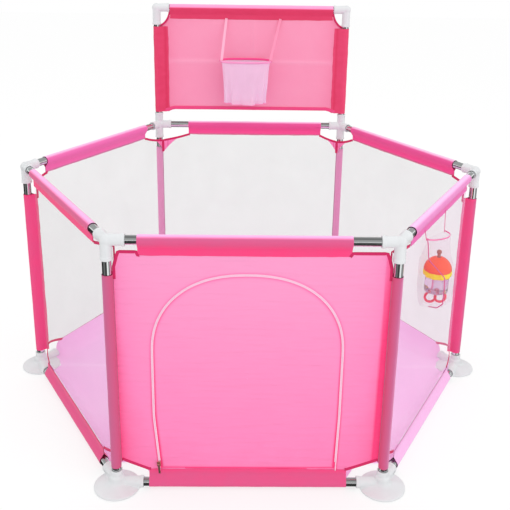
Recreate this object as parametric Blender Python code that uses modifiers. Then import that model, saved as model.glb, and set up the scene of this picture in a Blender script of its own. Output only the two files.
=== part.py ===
"""Hexagonal children's playpen with a zipped door, a toy pouch and a lift-off basketball backboard.

Metres, +Z up. The origin is on the floor under the centre of the hexagon. The door side faces -Y.
Corner k and side k share one local frame: its origin is on the corner's post axis at floor level, +X runs
along the side to the next corner, and +Y points into the pen.
"""

import math

import bmesh
import bpy
from mathutils import Matrix, Vector

# Frame
SIDE = 0.640  # post axis to post axis, which is also the hexagon's circumradius
LOW_RAIL_Z = 0.0165  # axis height of the bottom rails
TOP_RAIL_Z = 0.641  # axis height of the top rails
TUBE_R = 0.0105
TUBE_WALL = 0.001
GAP = 0.0003  # between pieces that touch
FACETS = 16

# Plastic connectors
SOCKET_R = 0.0132
HUB_R = 0.0146
BORE_R = TUBE_R + GAP
TOP_ARM = 0.042
DOWN_ARM = 0.047
UP_ARM = 0.042
RAIL_STOP = 0.016  # from the post axis to the end of a rail tube
POST_STOP = 0.006  # from a top rail's axis to the end of a post or an upright
FOOT_R = 0.056
FOOT_ARM = 0.064
FOOT_SOCKET_TOP = 0.0515
FOOT_BORE_FLOOR = 0.012
FOOT_EDGE = 0.004
FOOT_DOME = 0.010
FOOT_TOP_R = 0.024  # where the top of the foot's disc starts to fall away
FOOT_SHOULDER_R = 0.042
FOOT_CHAMFER = 0.001
FOOT_FACETS = 22
CUT_PAST = 0.01  # how far a cutter runs past the face it opens

# Fabric cover
SLEEVE_R = 0.0128
SLEEVE_BORE_R = 0.0113
SHEET = 0.002
POST_SLEEVE_LOW = 0.060
POST_SLEEVE_TOP = 0.560
PANEL_INSET = SLEEVE_R + GAP
MESH_BACK = 0.0115  # the mesh sides hang on the inner side of their rails
PANEL_TOP_CORNER = 0.590
PANEL_TOP_EDGE = 0.612
PANEL_LOW_CORNER = 0.079
PANEL_LOW_EDGE = 0.048
LOW_SLEEVE_INSET = (0.078, 0.089)
# How far each side's top sleeve starts and ends from its two corners.
TOP_SLEEVE_INSETS = (
    (0.068, 0.104),
    (0.074, 0.086),
    (0.080, 0.072),
    (0.071, 0.103),
    (0.084, 0.076),
    (0.076, 0.082),
)
FLOOR_LOW = 0.0015
FLOOR_TOP = 0.0040
FLOOR_INSET = 0.016
FLOOR_CORNER_CUT = 0.092

# Door in the front side
DOOR_X = 0.310
DOOR_SILL = 0.0505
DOOR_SILL_LEFT = 0.205  # from the door's middle to the foot of each leg
DOOR_SILL_RIGHT = 0.213
DOOR_HALF = 0.217
DOOR_KNEE = 0.200
DOOR_SPRING = 0.367
DOOR_TOP = 0.560
DOOR_ARC_STEPS = 10
CHAIN_HALF = 0.0025
CHAIN_THICK = 0.003
DOOR_HINGE_GAP = 0.0013

# Zip slider and its pull
SLIDER_Z = 0.070
SLIDER = Vector((0.008, 0.004, 0.012))
SLIDER_BACK = CHAIN_THICK / 2 + GAP
PIN_R = 0.0009
PIN_FACETS = 12
PIN_OUT = 0.0085  # pin axis in front of the panel's middle plane
KNUCKLE_R = 0.0021
KNUCKLE_BORE_R = 0.0012
KNUCKLE_LENGTH = 0.0046
PULL_LENGTH = 0.024
PULL_THICK = 0.0012
EAR = Vector((0.0011, 0.0050, 0.0036))  # the two lugs that hold the pin
EAR_SINK = 0.0010

# Backboard over the rear side
BOARD_AXIS_Z = 1.041
BOARD_LOW = 0.686
ELBOW_ACROSS = 0.043
ELBOW_DOWN = 0.056
BOARD_CUT_X = 0.045
BOARD_CUT_Z = 0.061
BOARD_CUT_STEPS = 6

# Hoop and net
HOOP_X = 0.338  # along the rear side, a little towards the left of the board's middle
HOOP_Z = 0.873
HOOP_HALF_X = 0.086
HOOP_HALF_Y = 0.045
HOOP_WIRE_R = 0.0035
HOOP_STEPS = 26
HOOP_BACK = SHEET / 2 + 0.0007 + HOOP_WIRE_R  # the back of the wire's axis, in front of the board
NET_LOW = 0.730
NET_LOW_SHARE = 0.75
NET_WALL = 0.0012

# Toy pouch on the front right side, and the rattle in it
POUCH_X = 0.280
POUCH_BACK = -0.0095  # negative is on the pen's side of the rail
POUCH_WALL = 0.0015
POUCH_STEPS = 20
# Height, half width and depth of each level, from the mouth down.
POUCH_LEVELS = (
    (0.603, 0.114, 0.083),
    (0.510, 0.088, 0.084),
    (0.460, 0.066, 0.090),
    (0.400, 0.048, 0.082),
    (0.365, 0.030, 0.056),
    (0.345, 0.014, 0.026),
)
POUCH_MOUTH_SAG = 0.066
RATTLE_OUT = 0.0320
RATTLE_COLLAR_Z = 0.4583
RATTLE_COLLAR_R = 0.039
RATTLE_COLLAR_HIGH = 0.015
RATTLE_ROUNDING = 0.004
RATTLE_DRUM_Z = 0.415
RATTLE_DRUM_R = 0.030
# Radius and height above the collar of each step of the dome, from the tip of its knob down.
RATTLE_DOME = (
    (0.0, 0.052),
    (0.006, 0.050),
    (0.007, 0.040),
    (0.012, 0.034),
    (0.026, 0.022),
    (0.035, 0.0),
    (0.0, 0.0),
)
RATTLE_FACETS = 20
RATTLE_RING_R = 0.0135  # to the middle of the wire
RATTLE_RING_WIRE = 0.003
RATTLE_RING_APART = 0.0255
WIRE_FACETS = 8

CORNERS = ("front_left", "front_right", "right", "rear_right", "rear_left", "left")
SIDES = ("front", "front_right", "rear_right", "rear", "rear_left", "front_left")
REAR = SIDES.index("rear")
UPRIGHT_CORNERS = {"rear_right": 0.0, "rear_left": SIDE}

TURN = {
    "up": Matrix.Identity(4),
    "down": Matrix.Rotation(math.pi, 4, "X"),
    "next": Matrix.Rotation(math.pi / 2, 4, "Y"),
    "previous": Matrix.Rotation(math.radians(120), 4, "Z") @ Matrix.Rotation(math.pi / 2, 4, "Y"),
}


def start_scene():
    for obj in list(bpy.data.objects):
        bpy.data.objects.remove(obj)
    for name in ("playpen", "helpers"):
        bpy.context.scene.collection.children.link(bpy.data.collections.new(name))


def make_material(name, colour, roughness, metallic=0.0, alpha=1.0):
    material = bpy.data.materials.new(name)
    material.use_nodes = True
    shader = material.node_tree.nodes["Principled BSDF"]
    shader.inputs["Base Color"].default_value = (*colour, 1.0)
    shader.inputs["Roughness"].default_value = roughness
    shader.inputs["Metallic"].default_value = metallic
    shader.inputs["Alpha"].default_value = alpha
    return material


def local_frame(index):
    """The frame shared by corner index and side index."""
    angle = math.radians(240 + 60 * index)
    place = Matrix.Translation((SIDE * math.cos(angle), SIDE * math.sin(angle), 0))
    return place @ Matrix.Rotation(math.radians(60 * index), 4, "Z")


def new_object(name, mesh, matrix=None, material=None, helper=False):
    obj = bpy.data.objects.new(name, mesh)
    bpy.data.collections["helpers" if helper else "playpen"].objects.link(obj)
    if matrix is not None:
        obj.matrix_world = matrix
    if material is not None:
        obj.data.materials.clear()
        obj.data.materials.append(material)
    if helper:
        obj.hide_render = True
        obj.display_type = "WIRE"
    return obj


def mesh_from(bm, name):
    bmesh.ops.recalc_face_normals(bm, faces=bm.faces)
    mesh = bpy.data.meshes.new(name)
    bm.to_mesh(mesh)
    bm.free()
    return mesh


def baked(obj, name):
    """The object's evaluated mesh, welded, with the object itself removed."""
    bpy.context.view_layer.update()
    graph = bpy.context.evaluated_depsgraph_get()
    mesh = bpy.data.meshes.new_from_object(obj.evaluated_get(graph))
    mesh.name = name
    bm = bmesh.new()
    bm.from_mesh(mesh)
    bmesh.ops.remove_doubles(bm, verts=bm.verts, dist=0.00001)
    bm.to_mesh(mesh)
    bm.free()
    bpy.data.objects.remove(obj)
    mesh.shade_smooth()
    mesh.set_sharp_from_angle(angle=math.radians(35))
    return mesh


def rod(radius, low, high, turn=None, origin=(0, 0, 0), facets=FACETS):
    """A closed cylinder from low to high along its own Z, turned and then moved to origin."""
    bm = bmesh.new()
    middle = Matrix.Translation((0, 0, (low + high) / 2))
    matrix = Matrix.Translation(origin) @ (turn or Matrix.Identity(4)) @ middle
    bmesh.ops.create_cone(
        bm, cap_ends=True, segments=facets, radius1=radius, radius2=radius, depth=high - low, matrix=matrix
    )
    return mesh_from(bm, "rod")


def block(size, centre):
    bm = bmesh.new()
    bmesh.ops.create_cube(bm, size=1.0, matrix=Matrix.Translation(centre) @ Matrix.Diagonal((*size, 1.0)))
    return mesh_from(bm, "block")


def ball(radius, centre, rows=6):
    bm = bmesh.new()
    bmesh.ops.create_uvsphere(
        bm, u_segments=FACETS, v_segments=rows, radius=radius, matrix=Matrix.Translation(centre)
    )
    return mesh_from(bm, "ball")


def turned(profile, facets=FACETS, closed=True, scale=(1, 1, 1)):
    """A profile of (radius, height) points, listed down its outer side, swept round Z."""
    bm = bmesh.new()
    points = [bm.verts.new((radius, 0, height)) for radius, height in profile]
    for first, second in zip(points, points[1:]):
        bm.edges.new((first, second))
    if closed:
        bm.edges.new((points[-1], points[0]))
    mesh = bpy.data.meshes.new("profile")
    bm.to_mesh(mesh)
    bm.free()
    obj = new_object("profile", mesh, helper=True)
    screw = obj.modifiers.new("turn", "SCREW")
    screw.steps = facets
    screw.render_steps = facets
    screw.use_merge_vertices = True
    screw.merge_threshold = 0.00002
    result = baked(obj, "turned")
    result.transform(Matrix.Diagonal((*scale, 1.0)))
    return result


def flat_shape(outline, thickness):
    """An outline of (x, z) points as a sheet of that thickness about the plane y = 0."""
    curve = bpy.data.curves.new("outline", "CURVE")
    curve.dimensions = "2D"
    curve.fill_mode = "BOTH"
    curve.extrude = thickness / 2
    spline = curve.splines.new("POLY")
    spline.points.add(len(outline) - 1)
    for point, (x, z) in zip(spline.points, outline):
        point.co = (x, z, 0, 1)
    spline.use_cyclic_u = True
    mesh = baked(new_object("outline", curve, helper=True), "flat")
    mesh.transform(Matrix.Rotation(math.pi / 2, 4, "X"))
    return mesh


def joined(meshes, cuts=()):
    """One solid from overlapping meshes, with the cutting meshes taken out of it."""
    base = new_object("base", meshes[0], helper=True)
    tools = []
    for operation, group in (("UNION", meshes[1:]), ("DIFFERENCE", cuts)):
        for mesh in group:
            tool = new_object("tool", mesh, helper=True)
            modifier = base.modifiers.new(operation.lower(), "BOOLEAN")
            modifier.operation = operation
            modifier.solver = "EXACT"
            modifier.object = tool
            tools.append(tool)
    result = baked(base, "joined")
    for tool in tools:
        bpy.data.objects.remove(tool)
    return result


def tube_mesh(low, high, outer=TUBE_R, inner=TUBE_R - TUBE_WALL):
    return turned([(outer, high), (outer, low), (inner, low), (inner, high)])


# Frame ---------------------------------------------------------------------------------------------


def foot_mesh():
    """A domed disc with sockets for the post and for the two bottom rails."""
    disc = turned(
        [
            (0.0, FOOT_DOME),
            (FOOT_TOP_R, FOOT_DOME),
            (FOOT_SHOULDER_R, FOOT_DOME - 2 * FOOT_CHAMFER),
            (FOOT_R, FOOT_EDGE),
            (FOOT_R - FOOT_CHAMFER, 0.0),
            (0.0, 0.0),
        ],
        facets=FOOT_FACETS,
        closed=False,
    )
    axis = (0, 0, LOW_RAIL_Z)
    arms = [rod(SOCKET_R, 0, FOOT_ARM, TURN[way], axis) for way in ("next", "previous")]
    post = rod(SOCKET_R, FOOT_EDGE, FOOT_SOCKET_TOP)
    bores = [rod(BORE_R, FOOT_BORE_FLOOR, FOOT_SOCKET_TOP + CUT_PAST)]
    for way in ("next", "previous"):
        bores.append(rod(BORE_R, RAIL_STOP - GAP, FOOT_ARM + CUT_PAST, TURN[way], axis))
    return joined([disc, post, *arms], bores)


def top_connector_mesh(has_upright):
    """A ball hub with sockets for a post and two top rails, and for an upright at a rear corner."""
    axis = (0, 0, TOP_RAIL_Z)
    arms = [("next", TOP_ARM, RAIL_STOP), ("previous", TOP_ARM, RAIL_STOP), ("down", DOWN_ARM, POST_STOP)]
    if has_upright:
        arms.append(("up", UP_ARM, POST_STOP))
    solids = [rod(SOCKET_R, 0, length, TURN[way], axis) for way, length, _ in arms]
    bores = [rod(BORE_R, stop - GAP, length + CUT_PAST, TURN[way], axis) for way, length, stop in arms]
    return joined([ball(HUB_R, axis), *solids], bores)


def build_frame(steel, plastic):
    foot = foot_mesh()
    plain = top_connector_mesh(False)
    tall = top_connector_mesh(True)
    post = tube_mesh(FOOT_BORE_FLOOR + GAP, TOP_RAIL_Z - POST_STOP)
    rail = tube_mesh(RAIL_STOP, SIDE - RAIL_STOP)
    rail.transform(TURN["next"])
    for index, (corner, side) in enumerate(zip(CORNERS, SIDES)):
        frame = local_frame(index)
        new_object(f"foot_{corner}", foot, frame, plastic)
        new_object(f"post_{corner}", post, frame, steel)
        new_object(f"top_connector_{corner}", tall if corner in UPRIGHT_CORNERS else plain, frame, plastic)
        new_object(f"bottom_rail_{side}", rail, frame @ Matrix.Translation((0, 0, LOW_RAIL_Z)), steel)
        new_object(f"top_rail_{side}", rail, frame @ Matrix.Translation((0, 0, TOP_RAIL_Z)), steel)


# Fabric cover --------------------------------------------------------------------------------------


def panel_outline(start, end):
    """A side's fabric between its post sleeves, reaching the rail axes where the rail sleeves are."""
    low_start, low_end = LOW_SLEEVE_INSET
    return [
        (PANEL_INSET, PANEL_LOW_CORNER),
        (low_start, PANEL_LOW_EDGE),
        (low_start, LOW_RAIL_Z),
        (SIDE - low_end, LOW_RAIL_Z),
        (SIDE - low_end, PANEL_LOW_EDGE),
        (SIDE - PANEL_INSET, PANEL_LOW_CORNER),
        (SIDE - PANEL_INSET, PANEL_TOP_CORNER),
        (SIDE - end, PANEL_TOP_EDGE),
        (SIDE - end, TOP_RAIL_Z),
        (start, TOP_RAIL_Z),
        (start, PANEL_TOP_EDGE),
        (PANEL_INSET, PANEL_TOP_CORNER),
    ]


def panel_mesh(index):
    """A side's fabric with the sleeves that hold it on its top and bottom rails."""
    start, end = TOP_SLEEVE_INSETS[index]
    low_start, low_end = LOW_SLEEVE_INSET
    rails = ((start, end, TOP_RAIL_Z), (low_start, low_end, LOW_RAIL_Z))
    sheet = flat_shape(panel_outline(start, end), SHEET)
    if SIDES[index] != "front":
        sheet.transform(Matrix.Translation((0, MESH_BACK, 0)))
    solids = [sheet]
    cuts = []
    for from_start, from_end, z in rails:
        low, high = from_start, SIDE - from_end
        solids.append(rod(SLEEVE_R, low, high, TURN["next"], (0, 0, z)))
        cuts.append(rod(SLEEVE_BORE_R, low - CUT_PAST, high + CUT_PAST, TURN["next"], (0, 0, z)))
    if SIDES[index] == "front":
        cuts.append(flat_shape(door_path(CHAIN_HALF + GAP), CUT_PAST))
    return joined(solids, cuts)


def door_line():
    """The zip's centre line, from the sill up the left leg, over the arch and down the right leg."""
    left = [(-DOOR_SILL_LEFT, DOOR_SILL), (-DOOR_HALF, DOOR_KNEE)]
    for step in range(DOOR_ARC_STEPS + 1):
        angle = math.pi / 2 * step / DOOR_ARC_STEPS
        rise = DOOR_TOP - DOOR_SPRING
        left.append((-DOOR_HALF * math.cos(angle), DOOR_SPRING + rise * math.sin(angle)))
    right = [(-x, z) for x, z in reversed(left[1:-1])] + [(DOOR_SILL_RIGHT, DOOR_SILL)]
    return [Vector((DOOR_X + x, z)) for x, z in left + right]


def door_path(outward, sill=DOOR_SILL):
    """The zip's centre line moved outward, with its two ends at the height of the sill."""
    line = door_line()
    moved = []
    for i, point in enumerate(line):
        along = line[min(i + 1, len(line) - 1)] - line[max(i - 1, 0)]
        normal = Vector((-along.y, along.x)).normalized()
        moved.append(point + normal * outward)
    return [(moved[0].x, sill), *[(p.x, p.y) for p in moved[1:-1]], (moved[-1].x, sill)]


def build_cover(fabric, mesh_fabric, lining):
    post_sleeve = tube_mesh(POST_SLEEVE_LOW, POST_SLEEVE_TOP, SLEEVE_R, SLEEVE_BORE_R)
    for index, (corner, side) in enumerate(zip(CORNERS, SIDES)):
        new_object(f"post_sleeve_{corner}", post_sleeve, local_frame(index), fabric)
        cloth = fabric if side == "front" else mesh_fabric
        new_object(f"side_panel_{side}", panel_mesh(index), local_frame(index), cloth)
    new_object("floor_sheet", floor_mesh(), None, lining)


def floor_mesh():
    """The fabric floor: the hexagon inside the bottom rails, cut back at the feet."""
    outline = []
    for index in range(len(CORNERS)):
        frame = local_frame(index)
        last_side = frame @ Matrix.Rotation(math.radians(120), 4, "Z")
        outline.append(last_side @ Vector((FLOOR_CORNER_CUT, -FLOOR_INSET, 0)))
        outline.append(frame @ Vector((FLOOR_CORNER_CUT, FLOOR_INSET, 0)))
    mesh = flat_shape([(point.x, point.y) for point in outline], FLOOR_TOP - FLOOR_LOW)
    middle = Matrix.Translation((0, 0, (FLOOR_TOP + FLOOR_LOW) / 2))
    mesh.transform(middle @ Matrix.Rotation(-math.pi / 2, 4, "X"))
    return mesh


def build_door(fabric, metal, zip_plastic):
    frame = local_frame(0)
    chain = flat_shape(door_path(CHAIN_HALF) + door_path(-CHAIN_HALF)[::-1], CHAIN_THICK)
    new_object("zip_chain", chain, frame, zip_plastic)
    flap = flat_shape(door_path(-CHAIN_HALF - GAP, DOOR_SILL + DOOR_HINGE_GAP), SHEET)
    sill = Vector((DOOR_X, 0, DOOR_SILL + DOOR_HINGE_GAP))
    flap.transform(Matrix.Translation(-sill))
    new_object("door_flap", flap, frame @ Matrix.Translation(sill), fabric)
    build_zip_slider(frame, metal)


def build_zip_slider(frame, metal):
    """The slider on the panel's side of the zip's left leg, and the pull that hangs from its pin."""
    foot, knee = door_line()[:2]
    leg = (knee - foot).normalized()
    on_leg = foot + leg * ((SLIDER_Z - foot.y) / leg.y)
    tilt = math.atan2(leg.x, leg.y)
    outward = SLIDER.x / 2 - CHAIN_HALF
    place = frame @ Matrix.Translation((on_leg.x, 0, on_leg.y)) @ Matrix.Rotation(tilt, 4, "Y")
    place = place @ Matrix.Translation((-outward, 0, 0))
    face = SLIDER_BACK + SLIDER.y
    body = block(SLIDER, (0, -SLIDER_BACK - SLIDER.y / 2, 0))
    ear_x = SLIDER.x / 2 - EAR.x / 2 - GAP
    ears = [block(EAR, (side * ear_x, -face - EAR.y / 2 + EAR_SINK, 0)) for side in (-1, 1)]
    pin = rod(PIN_R, -ear_x, ear_x, TURN["next"], (0, -PIN_OUT, 0), PIN_FACETS)
    new_object("zip_slider", joined([body, *ears, pin]), place, metal)
    knuckle = rod(KNUCKLE_R, -KNUCKLE_LENGTH / 2, KNUCKLE_LENGTH / 2, TURN["next"], facets=PIN_FACETS)
    tab = block((KNUCKLE_LENGTH, PULL_THICK, PULL_LENGTH), (0, 0, -PULL_LENGTH / 2))
    bore = rod(KNUCKLE_BORE_R, -KNUCKLE_LENGTH, KNUCKLE_LENGTH, TURN["next"], facets=PIN_FACETS)
    pin_place = place @ Matrix.Translation((0, -PIN_OUT, 0))
    new_object("zip_pull", joined([knuckle, tab], [bore]), pin_place, metal)


# Backboard -----------------------------------------------------------------------------------------


def elbow_mesh(way):
    """A right-angle connector between an upright and the top bar, which leaves it along way."""
    solids = [ball(HUB_R, (0, 0, 0)), rod(SOCKET_R, 0, ELBOW_ACROSS, way), rod(SOCKET_R, -ELBOW_DOWN, 0)]
    bores = [
        rod(BORE_R, RAIL_STOP - GAP, ELBOW_ACROSS + CUT_PAST, way),
        rod(BORE_R, -ELBOW_DOWN - CUT_PAST, -RAIL_STOP + GAP),
    ]
    return joined(solids, bores)


def board_mesh():
    """The backboard's fabric, with a sleeve on each upright and one on the top bar."""
    corner = []
    for step in range(BOARD_CUT_STEPS + 1):
        angle = math.pi / 2 * step / BOARD_CUT_STEPS
        corner.append((BOARD_CUT_X * math.cos(angle), BOARD_AXIS_Z - BOARD_CUT_Z * math.sin(angle)))
    outline = [(0, BOARD_LOW), (SIDE, BOARD_LOW)]
    outline += [(SIDE - x, z) for x, z in reversed(corner)] + corner
    top = BOARD_AXIS_Z - BOARD_CUT_Z
    solids = [flat_shape(outline, SHEET)]
    cuts = []
    for x in UPRIGHT_CORNERS.values():
        solids.append(rod(SLEEVE_R, BOARD_LOW, top, origin=(x, 0, 0)))
        cuts.append(rod(SLEEVE_BORE_R, BOARD_LOW - CUT_PAST, top + CUT_PAST, origin=(x, 0, 0)))
    axis = (0, 0, BOARD_AXIS_Z)
    solids.append(rod(SLEEVE_R, BOARD_CUT_X, SIDE - BOARD_CUT_X, TURN["next"], axis))
    bore_start, bore_end = BOARD_CUT_X - CUT_PAST, SIDE - BOARD_CUT_X + CUT_PAST
    cuts.append(rod(SLEEVE_BORE_R, bore_start, bore_end, TURN["next"], axis))
    return joined(solids, cuts)


def build_backboard(steel, plastic, fabric):
    frame = local_frame(REAR)
    upright = tube_mesh(TOP_RAIL_Z + POST_STOP, BOARD_AXIS_Z - RAIL_STOP)
    for corner, x in UPRIGHT_CORNERS.items():
        place = frame @ Matrix.Translation((x, 0, 0))
        new_object(f"upright_{corner}", upright, place, steel)
        inward = TURN["next"] if x == 0 else Matrix.Rotation(-math.pi / 2, 4, "Y")
        lift = Matrix.Translation((0, 0, BOARD_AXIS_Z))
        new_object(f"elbow_{corner}", elbow_mesh(inward), place @ lift, plastic)
    bar = tube_mesh(RAIL_STOP, SIDE - RAIL_STOP)
    bar.transform(TURN["next"])
    new_object("backboard_top_bar", bar, frame @ Matrix.Translation((0, 0, BOARD_AXIS_Z)), steel)
    new_object("backboard_panel", board_mesh(), frame, fabric)


def build_hoop(casing, net_fabric):
    """An oval wire hoop whose back edge is the hinge line on the board, and the open net under it."""
    hinge = local_frame(REAR) @ Matrix.Translation((HOOP_X, HOOP_BACK, HOOP_Z))
    curve = bpy.data.curves.new("hoop", "CURVE")
    curve.dimensions = "3D"
    curve.bevel_depth = HOOP_WIRE_R
    curve.bevel_resolution = 2
    spline = curve.splines.new("POLY")
    spline.points.add(HOOP_STEPS - 1)
    for step, point in enumerate(spline.points):
        angle = 2 * math.pi * step / HOOP_STEPS
        point.co = (HOOP_HALF_X * math.cos(angle), HOOP_HALF_Y * (1 + math.sin(angle)), 0, 1)
    spline.use_cyclic_u = True
    ring = baked(new_object("hoop", curve, helper=True), "hoop")
    new_object("hoop_ring", ring, hinge, casing)
    top = -HOOP_WIRE_R - GAP
    low = NET_LOW - HOOP_Z
    wide = HOOP_HALF_X - 0.002
    narrow = wide * NET_LOW_SHARE
    profile = [(wide, top), (narrow, low), (narrow - NET_WALL, low), (wide - NET_WALL, top)]
    net = turned(profile, facets=24, scale=(1, HOOP_HALF_Y / HOOP_HALF_X, 1))
    new_object("hoop_net", net, hinge @ Matrix.Translation((0, HOOP_HALF_Y, 0)), net_fabric)


# Toy pouch and rattle ------------------------------------------------------------------------------


def pouch_ring(half, depth, height, wall, sag):
    """One level of the pouch: a flat back against the side panel and a round front."""
    points = []
    for step in range(POUCH_STEPS):
        angle = 2 * math.pi * step / POUCH_STEPS
        front = max(math.sin(angle), 0.0)
        x = (half - wall) * math.cos(angle)
        y = -wall - (depth - 2 * wall) * front**0.8
        points.append(Vector((x, y, height - sag * front)))
    return points


def pouch_mesh():
    """A net pouch that is open at its sagging mouth and closed at its foot."""
    bm = bmesh.new()
    rings = []
    for level, (height, half, depth) in enumerate(POUCH_LEVELS):
        sag = POUCH_MOUTH_SAG if level == 0 else 0.0
        rings.append([bm.verts.new(p) for p in pouch_ring(half, depth, height, 0.0, sag)])
    for level, (height, half, depth) in reversed(list(enumerate(POUCH_LEVELS))):
        sag = POUCH_MOUTH_SAG if level == 0 else 0.0
        lift = POUCH_WALL if level == len(POUCH_LEVELS) - 1 else 0.0
        rings.append([bm.verts.new(p) for p in pouch_ring(half, depth, height + lift, POUCH_WALL, sag)])
    floor = len(POUCH_LEVELS)
    for index in range(len(rings)):
        if index + 1 == floor:
            bm.faces.new(rings[index])
            bm.faces.new(rings[index + 1][::-1])
            continue
        upper, lower = rings[index], rings[(index + 1) % len(rings)]
        for i in range(POUCH_STEPS):
            j = (i + 1) % POUCH_STEPS
            bm.faces.new((upper[i], upper[j], lower[j], lower[i]))
    return mesh_from(bm, "pouch")


def build_pouch(net_fabric, orange, yellow, clear, pink):
    frame = local_frame(1)
    new_object("toy_pouch", pouch_mesh(), frame @ Matrix.Translation((POUCH_X, -POUCH_BACK, 0)), net_fabric)
    place = frame @ Matrix.Translation((POUCH_X, -RATTLE_OUT, 0))
    dome_z = RATTLE_COLLAR_Z + RATTLE_COLLAR_HIGH + GAP
    dome = turned([(radius, dome_z + rise) for radius, rise in RATTLE_DOME], RATTLE_FACETS, closed=False)
    new_object("rattle_dome", dome, place, orange)
    low, high, edge = RATTLE_COLLAR_Z, RATTLE_COLLAR_Z + RATTLE_COLLAR_HIGH, RATTLE_ROUNDING
    collar = [
        (0.0, high),
        (RATTLE_COLLAR_R - edge, high),
        (RATTLE_COLLAR_R, high - edge),
        (RATTLE_COLLAR_R, low + edge),
        (RATTLE_COLLAR_R - edge, low),
        (0.0, low),
    ]
    new_object("rattle_collar", turned(collar, RATTLE_FACETS, closed=False), place, yellow)
    drum = rod(RATTLE_DRUM_R, RATTLE_DRUM_Z, RATTLE_COLLAR_Z - GAP, facets=RATTLE_FACETS)
    new_object("rattle_drum", drum, place, clear)
    across_pen = place @ Matrix.Rotation(math.radians(-60), 4, "Z")
    new_object("rattle_base", ring_pair_mesh(), across_pen, pink)


def ring_pair_mesh():
    """The two upright rings under the rattle's drum, side by side and joined where they meet."""
    profile = []
    for step in range(WIRE_FACETS):
        angle = -2 * math.pi * step / WIRE_FACETS
        radius = RATTLE_RING_R + RATTLE_RING_WIRE * math.cos(angle)
        profile.append((radius, RATTLE_RING_WIRE * math.sin(angle)))
    centre_z = RATTLE_DRUM_Z - GAP - RATTLE_RING_R - RATTLE_RING_WIRE
    rings = []
    for side in (-1, 1):
        ring = turned(profile, RATTLE_FACETS)
        upright = Matrix.Rotation(math.pi / 2, 4, "X")
        ring.transform(Matrix.Translation((side * RATTLE_RING_APART / 2, 0, centre_z)) @ upright)
        rings.append(ring)
    return joined(rings)


def main():
    start_scene()
    steel = make_material("steel_tube", (0.62, 0.63, 0.64), 0.22, 1.0)
    plastic = make_material("white_plastic", (0.86, 0.87, 0.87), 0.38)
    fabric = make_material("pink_fabric", (0.90, 0.22, 0.48), 0.80)
    mesh_fabric = make_material("white_mesh", (0.90, 0.88, 0.90), 0.85, alpha=0.35)
    lining = make_material("floor_fabric", (0.86, 0.50, 0.78), 0.80)
    zip_metal = make_material("zip_metal", (0.72, 0.70, 0.66), 0.30, 1.0)
    zip_plastic = make_material("zip_tape", (0.93, 0.72, 0.83), 0.60)
    net = make_material("white_net", (0.93, 0.82, 0.90), 0.85, alpha=0.5)
    orange = make_material("rattle_orange", (0.95, 0.16, 0.04), 0.30)
    yellow = make_material("rattle_yellow", (0.95, 0.72, 0.05), 0.30)
    clear = make_material("rattle_clear", (0.80, 0.66, 0.88), 0.10, alpha=0.45)
    pink = make_material("rattle_pink", (0.90, 0.25, 0.36), 0.35)
    build_frame(steel, plastic)
    build_cover(fabric, mesh_fabric, lining)
    build_door(fabric, zip_metal, zip_plastic)
    build_backboard(steel, plastic, fabric)
    build_hoop(fabric, net)
    build_pouch(net, orange, yellow, clear, pink)


main()
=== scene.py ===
"""Visual model of a six-sided tube-frame playpen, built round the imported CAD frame: cloth and mesh sides, a
zipped door, a backboard with a hoop and net, and a pouch with a toy. Metres, +Z up, the door side faces -Y.

Side k's own frame has its origin on corner k's post axis at floor level, +X along the rail to the next corner
and +Y into the pen. Corner k's own frame has +X from the post axis to the middle of the pen.
"""
import math

import bmesh
import bpy
from mathutils import Matrix, Vector, noise


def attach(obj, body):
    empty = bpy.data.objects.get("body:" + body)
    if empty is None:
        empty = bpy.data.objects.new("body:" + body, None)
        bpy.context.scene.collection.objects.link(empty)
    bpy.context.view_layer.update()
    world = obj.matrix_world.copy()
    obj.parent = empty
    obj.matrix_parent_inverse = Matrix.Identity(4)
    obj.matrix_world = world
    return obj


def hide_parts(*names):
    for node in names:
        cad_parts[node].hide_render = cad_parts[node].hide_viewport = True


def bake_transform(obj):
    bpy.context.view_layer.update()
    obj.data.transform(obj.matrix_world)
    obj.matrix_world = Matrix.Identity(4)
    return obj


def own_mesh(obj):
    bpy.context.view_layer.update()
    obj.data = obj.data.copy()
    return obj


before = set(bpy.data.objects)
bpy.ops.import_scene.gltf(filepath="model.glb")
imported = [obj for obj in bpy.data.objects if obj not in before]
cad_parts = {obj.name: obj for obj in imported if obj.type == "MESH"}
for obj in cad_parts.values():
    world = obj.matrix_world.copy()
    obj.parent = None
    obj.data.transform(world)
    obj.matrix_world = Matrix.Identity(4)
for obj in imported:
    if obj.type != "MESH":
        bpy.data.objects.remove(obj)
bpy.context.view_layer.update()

# Frame, as in the CAD
SIDE = 0.640
CORNERS = ("front_left", "front_right", "right", "rear_right", "rear_left", "left")
SIDES = ("front", "front_right", "rear_right", "rear", "rear_left", "front_left")
FRONT = SIDES.index("front")
POUCH_SIDE = SIDES.index("front_right")
REAR = SIDES.index("rear")
LOW_RAIL_Z = 0.0165
TOP_RAIL_Z = 0.641
TUBE_R = 0.0105
TUBE_WALL = 0.001
SOCKET_R = 0.0132
HUB_R = 0.0146
BORE_R = 0.0109
CUT_PAST = 0.01  # how far a bore's cutter runs on past its socket's mouth
TOP_ARM = 0.042
DOWN_ARM = 0.047
UP_ARM = 0.042
RAIL_STOP = 0.016
POST_STOP = 0.006
FOOT_R = 0.056
FOOT_ARM = 0.064
FOOT_SOCKET_TOP = 0.0515
FOOT_BORE_FLOOR = 0.012

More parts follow.
